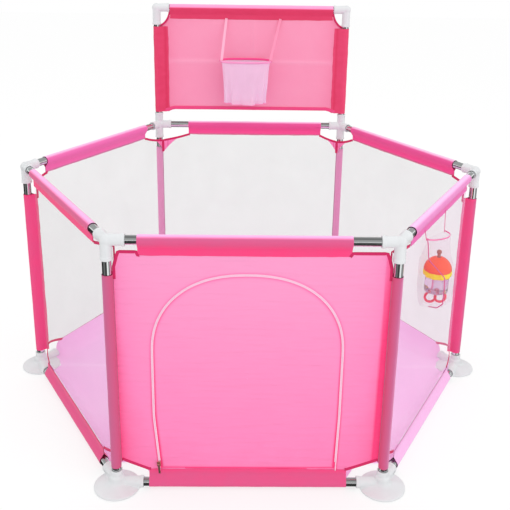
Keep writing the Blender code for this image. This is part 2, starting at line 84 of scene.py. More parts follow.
# Cloth cover
POST_SLEEVE_LOW = 0.060
POST_SLEEVE_TOP = 0.560
LOW_SLEEVE_INSET = (0.078, 0.089)
TOP_SLEEVE_INSETS = (
    (0.068, 0.104),
    (0.074, 0.086),
    (0.080, 0.072),
    (0.071, 0.103),
    (0.084, 0.076),
    (0.076, 0.082),
)
LOOP_R = 0.0122  # cloth round a tube
PINCH = 0.020  # from the tube's axis to where a sleeve's two layers meet
HEM = 0.036  # from the tube's axis to the end of the sleeve's double layer
LAYER = 0.0007  # half the distance between a hem's two layers
FLANGE = 0.027  # from a post's axis to the edge that its two sides are sewn to
FLANGE_X = FLANGE * math.cos(math.radians(60))
FLANGE_Y = FLANGE * math.sin(math.radians(60))
CORNER_TOP = (0.616, 0.608, 0.598, 0.588, 0.588, 0.598)  # top of the mesh beside each post
FRONT_CORNER_TOP = 0.613  # the front cloth's corners: their height, and the cut from there down to the post
FRONT_CORNER_LOW = 0.568
FRONT_CORNER_X = 0.027
CORNER_LOW = 0.080
SEWN = 0.004  # how far a side's cloth runs up between the layers of a hem
TOP_EDGE = TOP_RAIL_Z - HEM + SEWN
LOW_EDGE = LOW_RAIL_Z + HEM - SEWN
MESH_BULGE = 0.0115
FRONT_PULL = 0.0015  # the front cloth is sewn to the sides of its posts' sleeves

# Door
DOOR_X = 0.310
DOOR_SILL = 0.0505
DOOR_SILL_LEFT = 0.205
DOOR_SILL_RIGHT = 0.213
DOOR_HALF = 0.217
DOOR_KNEE = 0.200
DOOR_SPRING = 0.367
DOOR_TOP = 0.560
ZIP_HALF = 0.0028

# Backboard, hoop and net on the rear side
BOARD_AXIS_Z = 1.041
BOARD_LOW = 0.686
BOARD_CUT_X = 0.045
BOARD_CUT_Z = 0.061
ELBOW_ACROSS = 0.043
ELBOW_DOWN = 0.056
HOOP_X = 0.338
HOOP_Z = 0.873
HOOP_HALF_X = 0.086
HOOP_HALF_Y = 0.045
HOOP_BACK = 0.0052
NET_LOW = 0.730
NET_LOW_SHARE = 0.77  # size of the net's lower hem against the hoop
NET_FOLDS = 11  # round the net


def mix(low, high, share):
    """From low at share 0 to high at share 1."""
    return low + (high - low) * share


def clamp(value):
    """The value kept within 0 to 1."""
    return max(0.0, min(1.0, value))


def smooth_step(low, high, value):
    """From 0 where the value is low to 1 where it is high, eased at both ends."""
    share = clamp((value - low) / (high - low))
    return share * share * (3 - 2 * share)


def shares(count):
    """Evenly spaced values from 0 to 1."""
    return [index / count for index in range(count + 1)]


def turns(count):
    """Evenly spaced angles once round, from 0."""
    return [2 * math.pi * index / count for index in range(count)]


def round_at(radius, angle, height):
    """A point on a level circle about Z."""
    return Vector((radius * math.cos(angle), radius * math.sin(angle), height))


def fade(distance, reach):
    """1 up to no distance, and less the further beyond."""
    return math.exp(-max(distance, 0.0) / reach)


def ridge(distance, half_width):
    """1 along a line, and less the further to either side."""
    return math.exp(-((distance / half_width) ** 2))


def squared_off(value, power):
    """A sine or cosine that makes a rounded rectangle of a circle, the squarer the lower the power."""
    return math.copysign(abs(value) ** power, value)


def noise_at(x, y, z):
    """Smooth noise, from about -1 to 1."""
    return noise.noise(Vector((x, y, z)))


def rotation(degrees, axis):
    return Matrix.Rotation(math.radians(degrees), 4, axis)


def up_by(height):
    return Matrix.Translation((0, 0, height))


def direction_in(place, x, y, z):
    """A direction that is given in a frame."""
    return place.to_3x3() @ Vector((x, y, z))


def to_post(x):
    """Distance along a side to the nearer post's axis."""
    return min(x, SIDE - x)


def from_end(near, end):
    """The x at a distance from a side's start, which is end 0, or from its finish, which is end 1."""
    return near if end == 0 else SIDE - near


def side_frame(index):
    angle = math.radians(240 + 60 * index)
    corner = Vector((SIDE * math.cos(angle), SIDE * math.sin(angle), 0))
    return Matrix.Translation(corner) @ rotation(60 * index, "Z")


def corner_frame(index):
    return side_frame(index) @ rotation(60, "Z")


def axes_frame(origin, along, out):
    """A frame with +X along a tube's axis and +Z away from the sleeve's hem."""
    along, out = Vector(along).normalized(), Vector(out).normalized()
    across = out.cross(along)
    turn = Matrix((along, across, out)).transposed().to_4x4()
    return Matrix.Translation(origin) @ turn


# ---------------------------------------------------------------- materials

NET_PITCH = 0.0021  # from one thread of a net to the next


def colour(red, green, blue):
    """The linear colour of screen values from 0 to 255."""
    linear = []
    for value in (red, green, blue):
        share = value / 255
        linear.append(share / 12.92 if share <= 0.04045 else ((share + 0.055) / 1.055) ** 2.4)
    return (*linear, 1.0)


class Tree:
    """Adds nodes to a material's or the world's tree. An input is a value or another node's output."""

    def __init__(self, owner):
        owner.use_nodes = True
        self.tree = owner.node_tree
        self.tree.nodes.clear()

    def add(self, kind, inputs=(), **settings):
        node = self.tree.nodes.new("ShaderNode" + kind)
        for name, value in settings.items():
            setattr(node, name, value)
        for key, value in dict(inputs).items():
            self.feed(node.inputs[key], value)
        return node

    def feed(self, socket, value):
        if isinstance(value, bpy.types.NodeSocket):
            self.tree.links.new(value, socket)
        else:
            socket.default_value = value

    def math(self, operation, first, second=0.5, third=0.5):
        node = self.add("Math", operation=operation)
        for socket, value in zip(node.inputs, (first, second, third)):
            self.feed(socket, value)
        return node.outputs[0]

    def ramp(self, factor, stops):
        node = self.add("ValToRGB", {"Fac": factor})
        ramp = node.color_ramp
        while len(ramp.elements) < len(stops):
            ramp.elements.new(1.0)
        for element, (place, shade) in zip(ramp.elements, stops):
            element.position = place
            element.color = shade
        return node.outputs["Color"]

    def scaled_colour(self, shade, factor):
        """A colour times a number that varies over the surface."""
        if not isinstance(shade, bpy.types.NodeSocket):
            shade = shade[:3]
        node = self.add("VectorMath", {0: shade}, operation="SCALE")
        self.feed(node.inputs["Scale"], factor)
        return node.outputs["Vector"]

    def speckle(self, place, scale, detail=2.0):
        """Soft noise from 0 to 1 over the surface."""
        return self.add("TexNoise", {"Vector": place, "Scale": scale, "Detail": detail}).outputs["Fac"]

    def raise_by(self, height, strength, distance):
        """A bump node that lifts the surface where height is high."""
        return self.add("Bump", {"Strength": strength, "Distance": distance, "Height": height})

    def surface(self, inputs):
        """Ends a material's tree with its shader."""
        shader = self.add("BsdfPrincipled", inputs)
        self.add("OutputMaterial", {"Surface": shader.outputs[0]})


def threads(tree, uv, direction, pitch):
    """Bands across a UV map in metres, one for each thread."""
    wave = tree.add(
        "TexWave",
        {"Vector": uv, "Scale": math.pi / (10 * pitch), "Distortion": 0.0},
        wave_type="BANDS",
        bands_direction=direction,
    )
    return wave.outputs["Fac"]


def cloth_material(name, stops, pitch=0.0013, bump=0.25, mottle=0.05, pucker=0.0):
    """Plain-woven polyester. The piece's tone, from 0 to 1, picks its colour from the stops. Pucker is the
    strength of the fine gathers that run along its UV map's first axis."""
    material = bpy.data.materials.new(name)
    tree = Tree(material)
    uv = tree.add("TexCoord").outputs["UV"]
    place = tree.add("TexCoord").outputs["Object"]
    tone = tree.add("Attribute", attribute_name="tone").outputs["Fac"]
    warp, weft = threads(tree, uv, "X", pitch), threads(tree, uv, "Y", pitch)
    weave = tree.math("MAXIMUM", warp, weft)
    shift = tree.math("MULTIPLY_ADD", tree.speckle(place, 26.0, 3.0), mottle * 2, -mottle)
    dyed = tree.ramp(tree.math("ADD", tone, shift), stops)
    shade = tree.math("MULTIPLY_ADD", weave, 0.08, 0.93)
    raised = tree.raise_by(weave, bump, 0.0003)
    if pucker:
        drawn_out = tree.add("Mapping", {"Vector": uv, "Scale": (9.0, 75.0, 1.0)}).outputs["Vector"]
        puckered = tree.raise_by(tree.speckle(drawn_out, 1.0, 1.0), pucker, 0.006)
        tree.feed(raised.inputs["Normal"], puckered.outputs["Normal"])
    tree.surface(
        {
            "Base Color": tree.scaled_colour(dyed, shade),
            "Roughness": 0.72,
            "Normal": raised.outputs["Normal"],
            "Sheen Weight": 0.18,
            "Sheen Roughness": 0.4,
            "Specular IOR Level": 0.25,
        },
    )
    return material


def net_material(name, thread_colour, cover, contrast=0.6):
    """Knitted mesh. Cover is the share of the surface that its threads fill."""
    material = bpy.data.materials.new(name)
    tree = Tree(material)
    uv = tree.add("TexCoord").outputs["UV"]
    place = tree.add("TexCoord").outputs["Object"]
    warp, weft = threads(tree, uv, "X", NET_PITCH), threads(tree, uv, "Y", NET_PITCH)
    knit = tree.math("MAXIMUM", warp, weft)
    filled = tree.math("MULTIPLY_ADD", knit, cover * contrast, cover * (1 - 0.65 * contrast))
    alpha = tree.math("MULTIPLY", filled, tree.math("MULTIPLY_ADD", tree.speckle(place, 9.0), 0.3, 0.85))
    tree.surface(
        {
            "Base Color": thread_colour,
            "Roughness": 0.85,
            "Alpha": alpha,
            "Normal": tree.raise_by(knit, 0.3, 0.0003).outputs["Normal"],
            "Specular IOR Level": 0.1,
        },
    )
    return material


def plastic_material(name, shade, rough=0.34, clear=0.0, glow=0.0):
    """Moulded plastic with a fine satin grain and slightly uneven colour."""
    material = bpy.data.materials.new(name)
    tree = Tree(material)
    place = tree.add("TexCoord").outputs["Object"]
    grain, cloudy = tree.speckle(place, 400.0), tree.speckle(place, 40.0)
    tree.surface(
        {
            "Base Color": tree.scaled_colour(shade, tree.math("MULTIPLY_ADD", cloudy, 0.08, 0.96)),
            "Roughness": tree.math("MULTIPLY_ADD", grain, 0.1, rough - 0.05),
            "Normal": tree.raise_by(grain, 0.08, 0.0004).outputs["Normal"],
            "IOR": 1.46,
            "Transmission Weight": clear,
            "Subsurface Weight": glow,
            "Subsurface Radius": (0.01, 0.01, 0.01),
        },
    )
    return material


def metal_material(name, shade, rough):
    """Bright plated metal with fine drawn lines along it."""
    material = bpy.data.materials.new(name)
    tree = Tree(material)
    place = tree.add("TexCoord").outputs["Object"]
    drawn = tree.add("Mapping", {"Vector": place, "Scale": (60.0, 900.0, 900.0)}).outputs["Vector"]
    lines, smudge = tree.speckle(drawn, 1.0), tree.speckle(place, 30.0, 3.0)
    tree.surface(
        {
            "Base Color": tree.scaled_colour(shade, tree.math("MULTIPLY_ADD", lines, 0.08, 0.95)),
            "Metallic": 1.0,
            "Roughness": tree.math("MULTIPLY_ADD", smudge, 0.12, rough - 0.06),
            "Normal": tree.raise_by(lines, 0.03, 0.0002).outputs["Normal"],
        },
    )
    return material


SLEEVE_STOP_TONES = (0.0, 0.3, 0.6, 1.0)


def sleeve_stops(*shades):
    """The stops of a sleeve's cloth, from screen colours for its deepest tone to its palest."""
    return tuple(zip(SLEEVE_STOP_TONES, (colour(*shade) for shade in shades)))


# A sleeve's cloth: the rose is its pink in painted shade on a sleeve's flank, and the lilac a painted sheen
# highlight on its top.
HOT = colour(255, 66, 130)
DEEP = colour(196, 22, 84)
SHADED_ROSE = colour(216, 96, 144)
PINK = colour(255, 138, 192)
PALE = colour(251, 165, 208)
SHEEN_LILAC = colour(252, 184, 233)
# Copies of the one pink cloth with painted light and shade: paler on the right side's sleeves, which face the
# light, greyer in painted shade on the front posts' sleeves, and as the light falls on the rear and far left
# sleeves.
RIGHT_SLEEVE_LIT_STOPS = sleeve_stops((238, 96, 176), (233, 140, 202), (246, 170, 222), (250, 200, 242))
REAR_SLEEVE_LIGHTING_STOPS = sleeve_stops((254, 84, 154), (232, 88, 154), (246, 146, 198), (250, 196, 230))
FAR_LEFT_SLEEVE_LIGHTING_STOPS = sleeve_stops((243, 112, 178), (240, 116, 184), (248, 150, 206), (250, 190, 230))
BOARD_SLEEVE_STOPS = sleeve_stops((222, 58, 98), (240, 84, 128), (252, 128, 176), (252, 172, 218))
POST_SLEEVE_SHADE_STOPS = sleeve_stops((216, 82, 126), (202, 100, 144), (226, 142, 188), (238, 180, 215))
BOARD_DYE = ((0.0, colour(240, 110, 150)), (0.6, colour(250, 158, 190)), (1.0, colour(253, 182, 208)))
ZIP_DYE = ((0.0, colour(250, 120, 175)), (1.0, colour(255, 208, 232)))

MATERIALS = {
    "sleeve": cloth_material("sleeve_cloth", ((0.0, HOT), (0.3, SHADED_ROSE), (0.6, PINK), (1.0, SHEEN_LILAC))),
    "right_sleeve": cloth_material("right_sleeve_cloth", RIGHT_SLEEVE_LIT_STOPS),
    "rear_sleeve": cloth_material("rear_sleeve_cloth", REAR_SLEEVE_LIGHTING_STOPS),
    "far_left_sleeve": cloth_material("far_left_sleeve_cloth", FAR_LEFT_SLEEVE_LIGHTING_STOPS),
    "post_sleeve": cloth_material("post_sleeve_cloth", POST_SLEEVE_SHADE_STOPS),
    "board_sleeve": cloth_material("board_sleeve_cloth", BOARD_SLEEVE_STOPS),
    "panel": cloth_material("panel_cloth", ((0.0, HOT), (0.45, PINK), (1.0, PALE)), mottle=0.04, pucker=0.6),
    "binding": cloth_material("binding_cloth", ((0.0, DEEP), (1.0, HOT)), pitch=0.0009),
    "floor": cloth_material("floor_cloth", ((0.0, colour(243, 176, 232)), (1.0, colour(254, 212, 248)))),
    "board": cloth_material("board_cloth", BOARD_DYE),
    # The mesh's white threads are given a grey: painted shade on them.
    "mesh": net_material("mesh_cloth", colour(184, 192, 189), 0.285),
    "near_mesh": net_material("near_mesh_cloth", colour(184, 190, 188), 0.1),
    "right_mesh": net_material("right_mesh_cloth", colour(238, 204, 232), 0.2),
    "net": net_material("hoop_net_cloth", colour(248, 218, 242), 0.68, contrast=0.3),
    "pouch": net_material("pouch_net_cloth", colour(226, 190, 218), 0.10),
    "zip": cloth_material("zip_tape", ZIP_DYE, pitch=0.0016, bump=0.6),
    "chrome": metal_material("chromed_tube", colour(232, 236, 236), 0.12),
    "brass": metal_material("zip_metal", colour(236, 196, 176), 0.42),
    "white": plastic_material("white_moulding", colour(224, 226, 228), glow=0.05),
    "orange": plastic_material("toy_orange", colour(255, 92, 48), rough=0.25),
    "yellow": plastic_material("toy_yellow", colour(255, 232, 10), rough=0.25),
    "coral": plastic_material("toy_coral", colour(250, 84, 104), rough=0.25),
    "clear": plastic_material("toy_clear", colour(246, 228, 250), rough=0.12, clear=0.75),
    "olive": plastic_material("toy_olive", colour(168, 186, 96), rough=0.35),
    "brown": plastic_material("toy_brown", colour(178, 110, 96), rough=0.35),
}


# ---------------------------------------------------------------- meshes


def link_new(name, data):
    """A new object in the scene."""
    item = bpy.data.objects.new(name, data)
    bpy.context.scene.collection.objects.link(item)
    return item


def add_object(name, mesh, body, place=None):
    """Puts a mesh in the scene with its slot. It rides on a body, or on none where that is None."""
    piece = link_new(name, mesh)
    if place is not None:
        piece.matrix_world = place
    if body is not None:
        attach(piece, body)
    return piece


def mesh_of(name, points, faces, material, tones=None, uvs=None):
    """A smooth mesh with a tone for each point and a UV map in metres."""
    mesh = bpy.data.meshes.new(name)
    mesh.from_pydata([tuple(point) for point in points], [], faces)
    mesh.materials.append(MATERIALS[material])
    mesh.polygons.foreach_set("use_smooth", [True] * len(mesh.polygons))
    if tones is not None:
        mesh.attributes.new("tone", "FLOAT", "POINT").data.foreach_set("value", tones)
    if uvs is not None:
        layer = mesh.uv_layers.new(name="metres")
        for loop in mesh.loops:
            layer.data[loop.index].uv = uvs[loop.vertex_index]
    mesh.update()
    return mesh


def grid_mesh(name, columns, rows, place, material, ring=False):
    """A sheet of quads. place(s, t) gives a point, its tone and its UV. A ring joins up in s."""
    points, tones, uvs, faces = [], [], [], []
    for s in columns:
        for t in rows:
            point, tone, uv = place(s, t)
            points.append(point)
            tones.append(tone)
            uvs.append(uv)
    count, high = len(columns), len(rows)
    for i in range(count if ring else count - 1):
        for j in range(high - 1):
            a, b = i * high + j, (i + 1) % count * high + j
            faces.append((a, b, b + 1, a + 1))
    return mesh_of(name, points, faces, material, tones, uvs)


def tangents(path, closed):
    """The direction of a path at each of its points."""
    last = len(path) - 1
    found = []
    for index in range(len(path)):
        if closed:
            before, after = path[index - 1], path[(index + 1) % len(path)]
        else:
            before, after = path[max(index - 1, 0)], path[min(index + 1, last)]
        found.append((after - before).normalized())
    return found


def tube_faces(rings, around, closed):
    """Quads that join each ring of points to the next."""
    faces = []
    for i in range(rings if closed else rings - 1):
        a, b = i * around, (i + 1) % rings * around
        for j in range(around):
            k = (j + 1) % around
            faces.append((a + j, b + j, b + k, a + k))
    return faces


def sweep_mesh(name, path, section, material, normal, closed=False, tone=0.5):
    """A closed section carried along a path. The section's first axis lies across the path, at right angles
    to normal, and its second along normal. The tone is one value, or one for each point."""
    path_tones = tone if isinstance(tone, list) else [tone] * len(path)
    points, tones, uvs = [], [], []
    run = 0.0
    for index, (point, forward) in enumerate(zip(path, tangents(path, closed))):
        up = (Vector(normal) - forward * forward.dot(normal)).normalized()
        across = forward.cross(up)
        run += (point - path[index - 1]).length if index else 0.0
        for step, (wide, high) in enumerate(section):
            points.append(point + across * wide + up * high)
            tones.append(path_tones[index])
            uvs.append((run, 0.002 * step))
    rings, around = len(path), len(section)
    faces = tube_faces(rings, around, closed)
    if not closed:
        faces.append(tuple(range(around)))
        faces.append(tuple(reversed(range((rings - 1) * around, rings * around))))
    return mesh_of(name, points, faces, material, tones, uvs)


def add_trim(name, path, section, material, normal, body, closed=False, tone=0.5):
    """A binding, hem, seam or strap: pink cloth with a section, swept along a path."""
    mesh = sweep_mesh(name, path, section, material, normal, closed, tone)
    return add_object(name, mesh, body)


def round_section(radius, count):
    turn = 2 * math.pi / count
    return [(radius * math.cos(turn * i), radius * math.sin(turn * i)) for i in range(count)]


def band_section(width, thick, count=12):
    """A flat band with rounded edges."""
    turn = 2 * math.pi / count
    section = []
    for index in range(count):
        cosine, sine = math.cos(turn * index), math.sin(turn * index)
        wide = squared_off(cosine, 0.5)
        high = squared_off(sine, 0.7)
        section.append((width / 2 * wide, thick / 2 * high))
    return section


def belt_faces(first, second, count):
    """Quads between two rings of points, each given by the index of its first point."""
    faces = []
    for index in range(count):
        after = (index + 1) % count
        faces.append((first + index, first + after, second + after, second + index))
    return faces


def turned_mesh(name, profile, material, count=64, place=None):
    """A closed body turned about Z. The profile runs from the axis to the axis, as (radius, height)."""
    points, faces = [], []
    for radius, height in profile[1:-1]:
        points += [round_at(radius, angle, height) for angle in turns(count)]
    rings = len(profile) - 2
    for ring in range(rings - 1):
        faces += belt_faces(ring * count, (ring + 1) * count, count)
    first, last = len(points), len(points) + 1
    points += [Vector((0, 0, profile[0][1])), Vector((0, 0, profile[-1][1]))]
    for index in range(count):
        after = (index + 1) % count
        faces.append((first, after, index))
        top = (rings - 1) * count
        faces.append((last, top + index, top + after))
    if place is not None:
        points = [place @ point for point in points]
    return mesh_of(name, points, faces, material)


def tube_mesh(name, length):
    """A hollow chromed tube along +X from the origin."""
    count = 48
    points, faces = [], []
    rings = ((0, TUBE_R), (length, TUBE_R), (length, TUBE_R - TUBE_WALL), (0, TUBE_R - TUBE_WALL))
    for along, radius in rings:
        points += [(along, radius * math.cos(angle), radius * math.sin(angle)) for angle in turns(count)]
    for ring in range(len(rings)):
        faces += belt_faces(ring * count, (ring + 1) % len(rings) * count, count)
    mesh = mesh_of(name, points, faces, "chrome")
    mesh.set_sharp_from_angle(angle=math.radians(40))
    return mesh


# ---------------------------------------------------------------- tubes and mouldings


def place_tube(name, place, start, end, body):
    """A tube between two places along a frame's +X."""
    mesh = tube_mesh(name, end - start)
    tube = add_object(f"{name}_tube", mesh, body, place @ Matrix.Translation((start, 0, 0)))
    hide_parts(name)


def build_tubes():
    up = rotation(-90, "Y")
    for index, side in enumerate(SIDES):
        place = side_frame(index)
        for level, height in (("bottom", LOW_RAIL_Z), ("top", TOP_RAIL_Z)):
            rail = place @ up_by(height)
            place_tube(f"{level}_rail_{side}", rail, RAIL_STOP, SIDE - RAIL_STOP, "pen")
    for index, corner in enumerate(CORNERS):
        post = corner_frame(index) @ up
        place_tube(f"post_{corner}", post, FOOT_BORE_FLOOR, TOP_RAIL_Z - POST_STOP, "pen")
    for index in (REAR, REAR + 1):
        upright = corner_frame(index) @ up
        name = f"upright_{CORNERS[index]}"
        place_tube(name, upright, TOP_RAIL_Z + POST_STOP, BOARD_AXIS_Z - RAIL_STOP, "backboard")
    bar = side_frame(REAR) @ up_by(BOARD_AXIS_Z)
    place_tube("backboard_top_bar", bar, RAIL_STOP, SIDE - RAIL_STOP, "backboard")


def rod_parts(form, radius, start, end, place=Matrix.Identity(4)):
    """Adds a rod to a bmesh, from start to end along its own Z."""
    middle = place @ up_by((start + end) / 2)
    bmesh.ops.create_cone(
        form, cap_ends=True, segments=48, radius1=radius, radius2=radius, depth=end - start, matrix=middle
    )


def solid_object(form):
    """A temporary object from a bmesh, which is freed."""
    mesh = bpy.data.meshes.new("temporary")
    form.to_mesh(mesh)
    form.free()
    return link_new("temporary", mesh)


def rods_object(rods):
    """One temporary object of overlapping closed bodies. A rod is (radius, start, end) and perhaps its frame,
    a ball is (radius, centre), and any other body is a function that adds it to a bmesh, as (function,)."""
    form = bmesh.new()
    for rod in rods:
        if callable(rod[0]):
            rod[0](form)
        elif len(rod) == 2:
            matrix = Matrix.Translation(rod[1])
            bmesh.ops.create_uvsphere(form, u_segments=48, v_segments=24, radius=rod[0], matrix=matrix)
        else:
            rod_parts(form, *rod)
    return solid_object(form)


def moulded_mesh(name, solids, bores, voxel):
    """One moulding with softened edges: the bodies of solids joined, less those of bores."""
    base, drill = rods_object(solids), rods_object(bores)
    for step in ("join", "soften"):
        remesh = base.modifiers.new(step, "REMESH")
        remesh.mode, remesh.voxel_size = "VOXEL", voxel
        if step == "join":
            cut = base.modifiers.new("cut", "BOOLEAN")
            cut.operation, cut.object, cut.solver = "DIFFERENCE", drill, "EXACT"
    soften = base.modifiers.new("smooth", "SMOOTH")
    soften.factor, soften.iterations = 0.5, 5
    bpy.context.view_layer.update()
    mesh = bpy.data.meshes.new_from_object(base.evaluated_get(bpy.context.evaluated_depsgraph_get()))
    mesh.name = name
    for piece in (base, drill):
        bpy.data.objects.remove(piece)
    mesh.materials.clear()
    mesh.materials.append(MATERIALS["white"])
    mesh.polygons.foreach_set("use_smooth", [True] * len(mesh.polygons))
    mesh.update()
    return mesh


def turn_to(direction):
    """The rotation that takes +Z to a direction."""
    return Vector((0, 0, 1)).rotation_difference(Vector(direction)).to_matrix().to_4x4()


RIM = 0.007  # length of the thicker rim at a socket's mouth
RIM_R = 0.0144
MOULD_VOXEL = 0.0009  # fineness of the connectors' and elbows' softened forms
FOOT_VOXEL = 0.0011


def arm(turn, start, end):
    """The rods of one socket arm along a frame's +Z, and of its bore from start."""
    solids = [(SOCKET_R, 0.0, end, turn), (RIM_R, end - RIM, end, turn)]
    return solids, [(BORE_R, start, end + CUT_PAST, turn)]


def joined_arms(arms):
    """The solids of all arms, and their bores."""
    solids, bores = [], []
    for more_solids, more_bores in arms:
        solids += more_solids
        bores += more_bores
    return solids, bores


def rail_directions():
    """The directions of a corner's two rails in its own frame."""
    return [Vector((math.cos(math.radians(a)), math.sin(math.radians(a)), 0)) for a in (-60, 60)]


def top_connector_mesh(name, above):
    """Two rail sockets and one for the post, and one that reaches above for a backboard upright."""
    solids, bores = joined_arms([arm(turn_to(rail), RAIL_STOP, TOP_ARM) for rail in rail_directions()])
    solids.append((SOCKET_R, -DOWN_ARM, above))
    solids.append((RIM_R, -DOWN_ARM, RIM - DOWN_ARM))
    bores.append((BORE_R, -DOWN_ARM - CUT_PAST, -POST_STOP))
    if above:
        solids.append((RIM_R, above - RIM, above))
        bores.append((BORE_R, POST_STOP, above + CUT_PAST))
    return moulded_mesh(name, [(HUB_R, Vector((0, 0, 0)))] + solids, bores, MOULD_VOXEL)


def build_top_connectors():
    plain = top_connector_mesh("top_connector", 0.0)
    tall = top_connector_mesh("top_connector_with_socket", UP_ARM)
    for index, corner in enumerate(CORNERS):
        mesh = tall if index in (REAR, REAR + 1) else plain
        place = corner_frame(index) @ up_by(TOP_RAIL_Z)
        piece = add_object(f"connector_{corner}", mesh, "pen", place)
        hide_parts(f"top_connector_{corner}")


def foot_disc(form):
    """A low dome with a rounded rim and a raised collar, turned about Z."""
    profile = (
        (0.0, 0.0),
        (FOOT_R - 0.005, 0.0),
        (FOOT_R - 0.001, 0.0028),
        (FOOT_R, 0.0050),
        (FOOT_R, 0.0068),
        (FOOT_R - 0.0020, 0.0086),
        (0.0485, 0.0104),
        (0.0400, 0.0132),
        (0.0300, 0.0158),
        (0.0235, 0.0180),
        (0.0205, 0.0205),
        (0.0188, 0.0245),
        (0.0182, 0.0330),
        (0.0165, 0.0360),
        (0.0, 0.0362),
    )
    mesh = turned_mesh("temporary", profile, "white")
    form.from_mesh(mesh)
    bpy.data.meshes.remove(mesh)


def build_feet():
    """Feet with a disc, two rail sockets and one for the post."""
    lift = up_by(LOW_RAIL_Z)
    turned = [lift @ turn_to(rail) for rail in rail_directions()]
    solids, bores = joined_arms([arm(turn, RAIL_STOP, FOOT_ARM) for turn in turned])
    solids.append((HUB_R, FOOT_BORE_FLOOR, FOOT_SOCKET_TOP))
    bores.append((BORE_R, FOOT_BORE_FLOOR, FOOT_SOCKET_TOP + CUT_PAST))
    mesh = moulded_mesh("foot", [(foot_disc,)] + solids, bores, FOOT_VOXEL)
    for index, corner in enumerate(CORNERS):
        piece = add_object(f"foot_moulding_{corner}", mesh, "pen", corner_frame(index))
        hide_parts(f"foot_{corner}")


def build_elbows():
    down = arm(turn_to((0, 0, -1)), RAIL_STOP, ELBOW_DOWN)
    across = arm(turn_to((1, 0, 0)), RAIL_STOP, ELBOW_ACROSS)
    solids, bores = joined_arms([down, across])
    mesh = moulded_mesh("elbow", [(HUB_R, Vector((0, 0, 0)))] + solids, bores, MOULD_VOXEL)
    rear = side_frame(REAR)
    half_turn = rotation(180, "Z")
    for corner, place in (
        ("rear_right", up_by(BOARD_AXIS_Z)),
        ("rear_left", Matrix.Translation((SIDE, 0, BOARD_AXIS_Z)) @ half_turn),
    ):
        piece = add_object(f"elbow_moulding_{corner}", mesh, "backboard", rear @ place)
        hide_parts(f"elbow_{corner}")


# ---------------------------------------------------------------- sleeves


def sleeve_loop(pinch, hem):
    """The section of a strip of cloth folded round a tube and sewn to itself: (across, away from the hem)."""
    meet = math.acos(LOOP_R / pinch)  # between the hem's direction and where the cloth leaves the tube
    points = [(-LAYER, mix(-hem, -pinch, s)) for s in shares(4)]
    leave = (-LOOP_R * math.sin(meet), -LOOP_R * math.cos(meet))
    points += [(mix(-LAYER, leave[0], s), mix(-pinch, leave[1], s)) for s in (0.3, 0.65)]
    for s in shares(22):
        angle = mix(meet, 2 * math.pi - meet, s)
        points.append((-LOOP_R * math.sin(angle), -LOOP_R * math.cos(angle)))
    points += [(mix(LAYER, -leave[0], s), mix(-pinch, leave[1], s)) for s in (0.65, 0.3)]
    points += [(LAYER, mix(-pinch, -hem, s)) for s in shares(4)]
    return points


def add_sleeve(
    name, body, place, start, end, material, tone_at, pinch=PINCH, hem=HEM, crease=0.0006, seed=0.0,
):
    """A sleeve along +X of a frame whose -Z points to the hem. tone_at(x, across, height) gives its tone."""
    loop = sleeve_loop(pinch, hem)
    widths = [0.0]
    for before, after in zip(loop, loop[1:]):
        widths.append(widths[-1] + math.dist(before, after))

    def at(s, t):
        x = mix(start, end, s)
        step = round(t * (len(loop) - 1))
        across, height = loop[step]
        out = Vector((0, across, height)).normalized()
        loose = smooth_step(-0.2 * LOOP_R, -pinch, height)
        ripple = noise_at(x * 26, across * 90 + seed, height * 60 + seed)
        ripple += 0.5 * noise_at(x * 75, across * 120, height * 150 + seed)
        droop = Vector((0, 0, -0.0008 * math.sin(math.pi * s) * loose))
        lift = crease * ripple * (0.5 + loose)
        point = Vector((x, across, height)) + out * max(lift, -0.0004) + droop
        return place @ point, tone_at(x, across, height), (x, widths[step])

    columns = shares(max(12, round((end - start) / 0.006)))
    mesh = grid_mesh(name, columns, shares(len(loop) - 1), at, material)
    return add_object(name, mesh, body)


def loop_width(pinch=PINCH, hem=HEM):
    loop = sleeve_loop(pinch, hem)
    return sum(math.dist(before, after) for before, after in zip(loop, loop[1:]))


CROWN_LOW = 0.55 * LOOP_R  # where the painted sheen highlight of a rail sleeve begins, above the rail's axis
FLANK_LOW = -0.002  # where its flank turns to the hem
# Tones of a rail sleeve: a painted sheen highlight on its crown, its flank and underside in painted shade.
CROWN_SHEEN_TONE = 1.0
FLANK_SHADE_TONE = 0.3
UNDER_SHADE_TONE = FLANK_SHADE_TONE - 0.08
HEM_TONE = 0.05


def rail_sleeve_light_tone(_x, _across, height):
    """Painted light on a rail sleeve: a sheen highlight where light strikes its top, deep rose in painted
    shade below, hot pink on the hem.
    """
    if height < -PINCH:
        return HEM_TONE
    if height < FLANK_LOW:
        return mix(HEM_TONE, UNDER_SHADE_TONE, smooth_step(-PINCH, FLANK_LOW, height))
    if height < CROWN_LOW:
        return mix(UNDER_SHADE_TONE, FLANK_SHADE_TONE, smooth_step(FLANK_LOW, CROWN_LOW, height))
    return mix(FLANK_SHADE_TONE, CROWN_SHEEN_TONE, smooth_step(CROWN_LOW, LOOP_R, height))


# Which copy of the pink cloth, with the painted light and shade of its side, the rail sleeves take where they
# do not share the front's.
RAIL_CLOTHS = {
    "front_right": "right_sleeve",
    "rear_right": "rear_sleeve",
    "rear": "rear_sleeve",
    "rear_left": "far_left_sleeve",
}


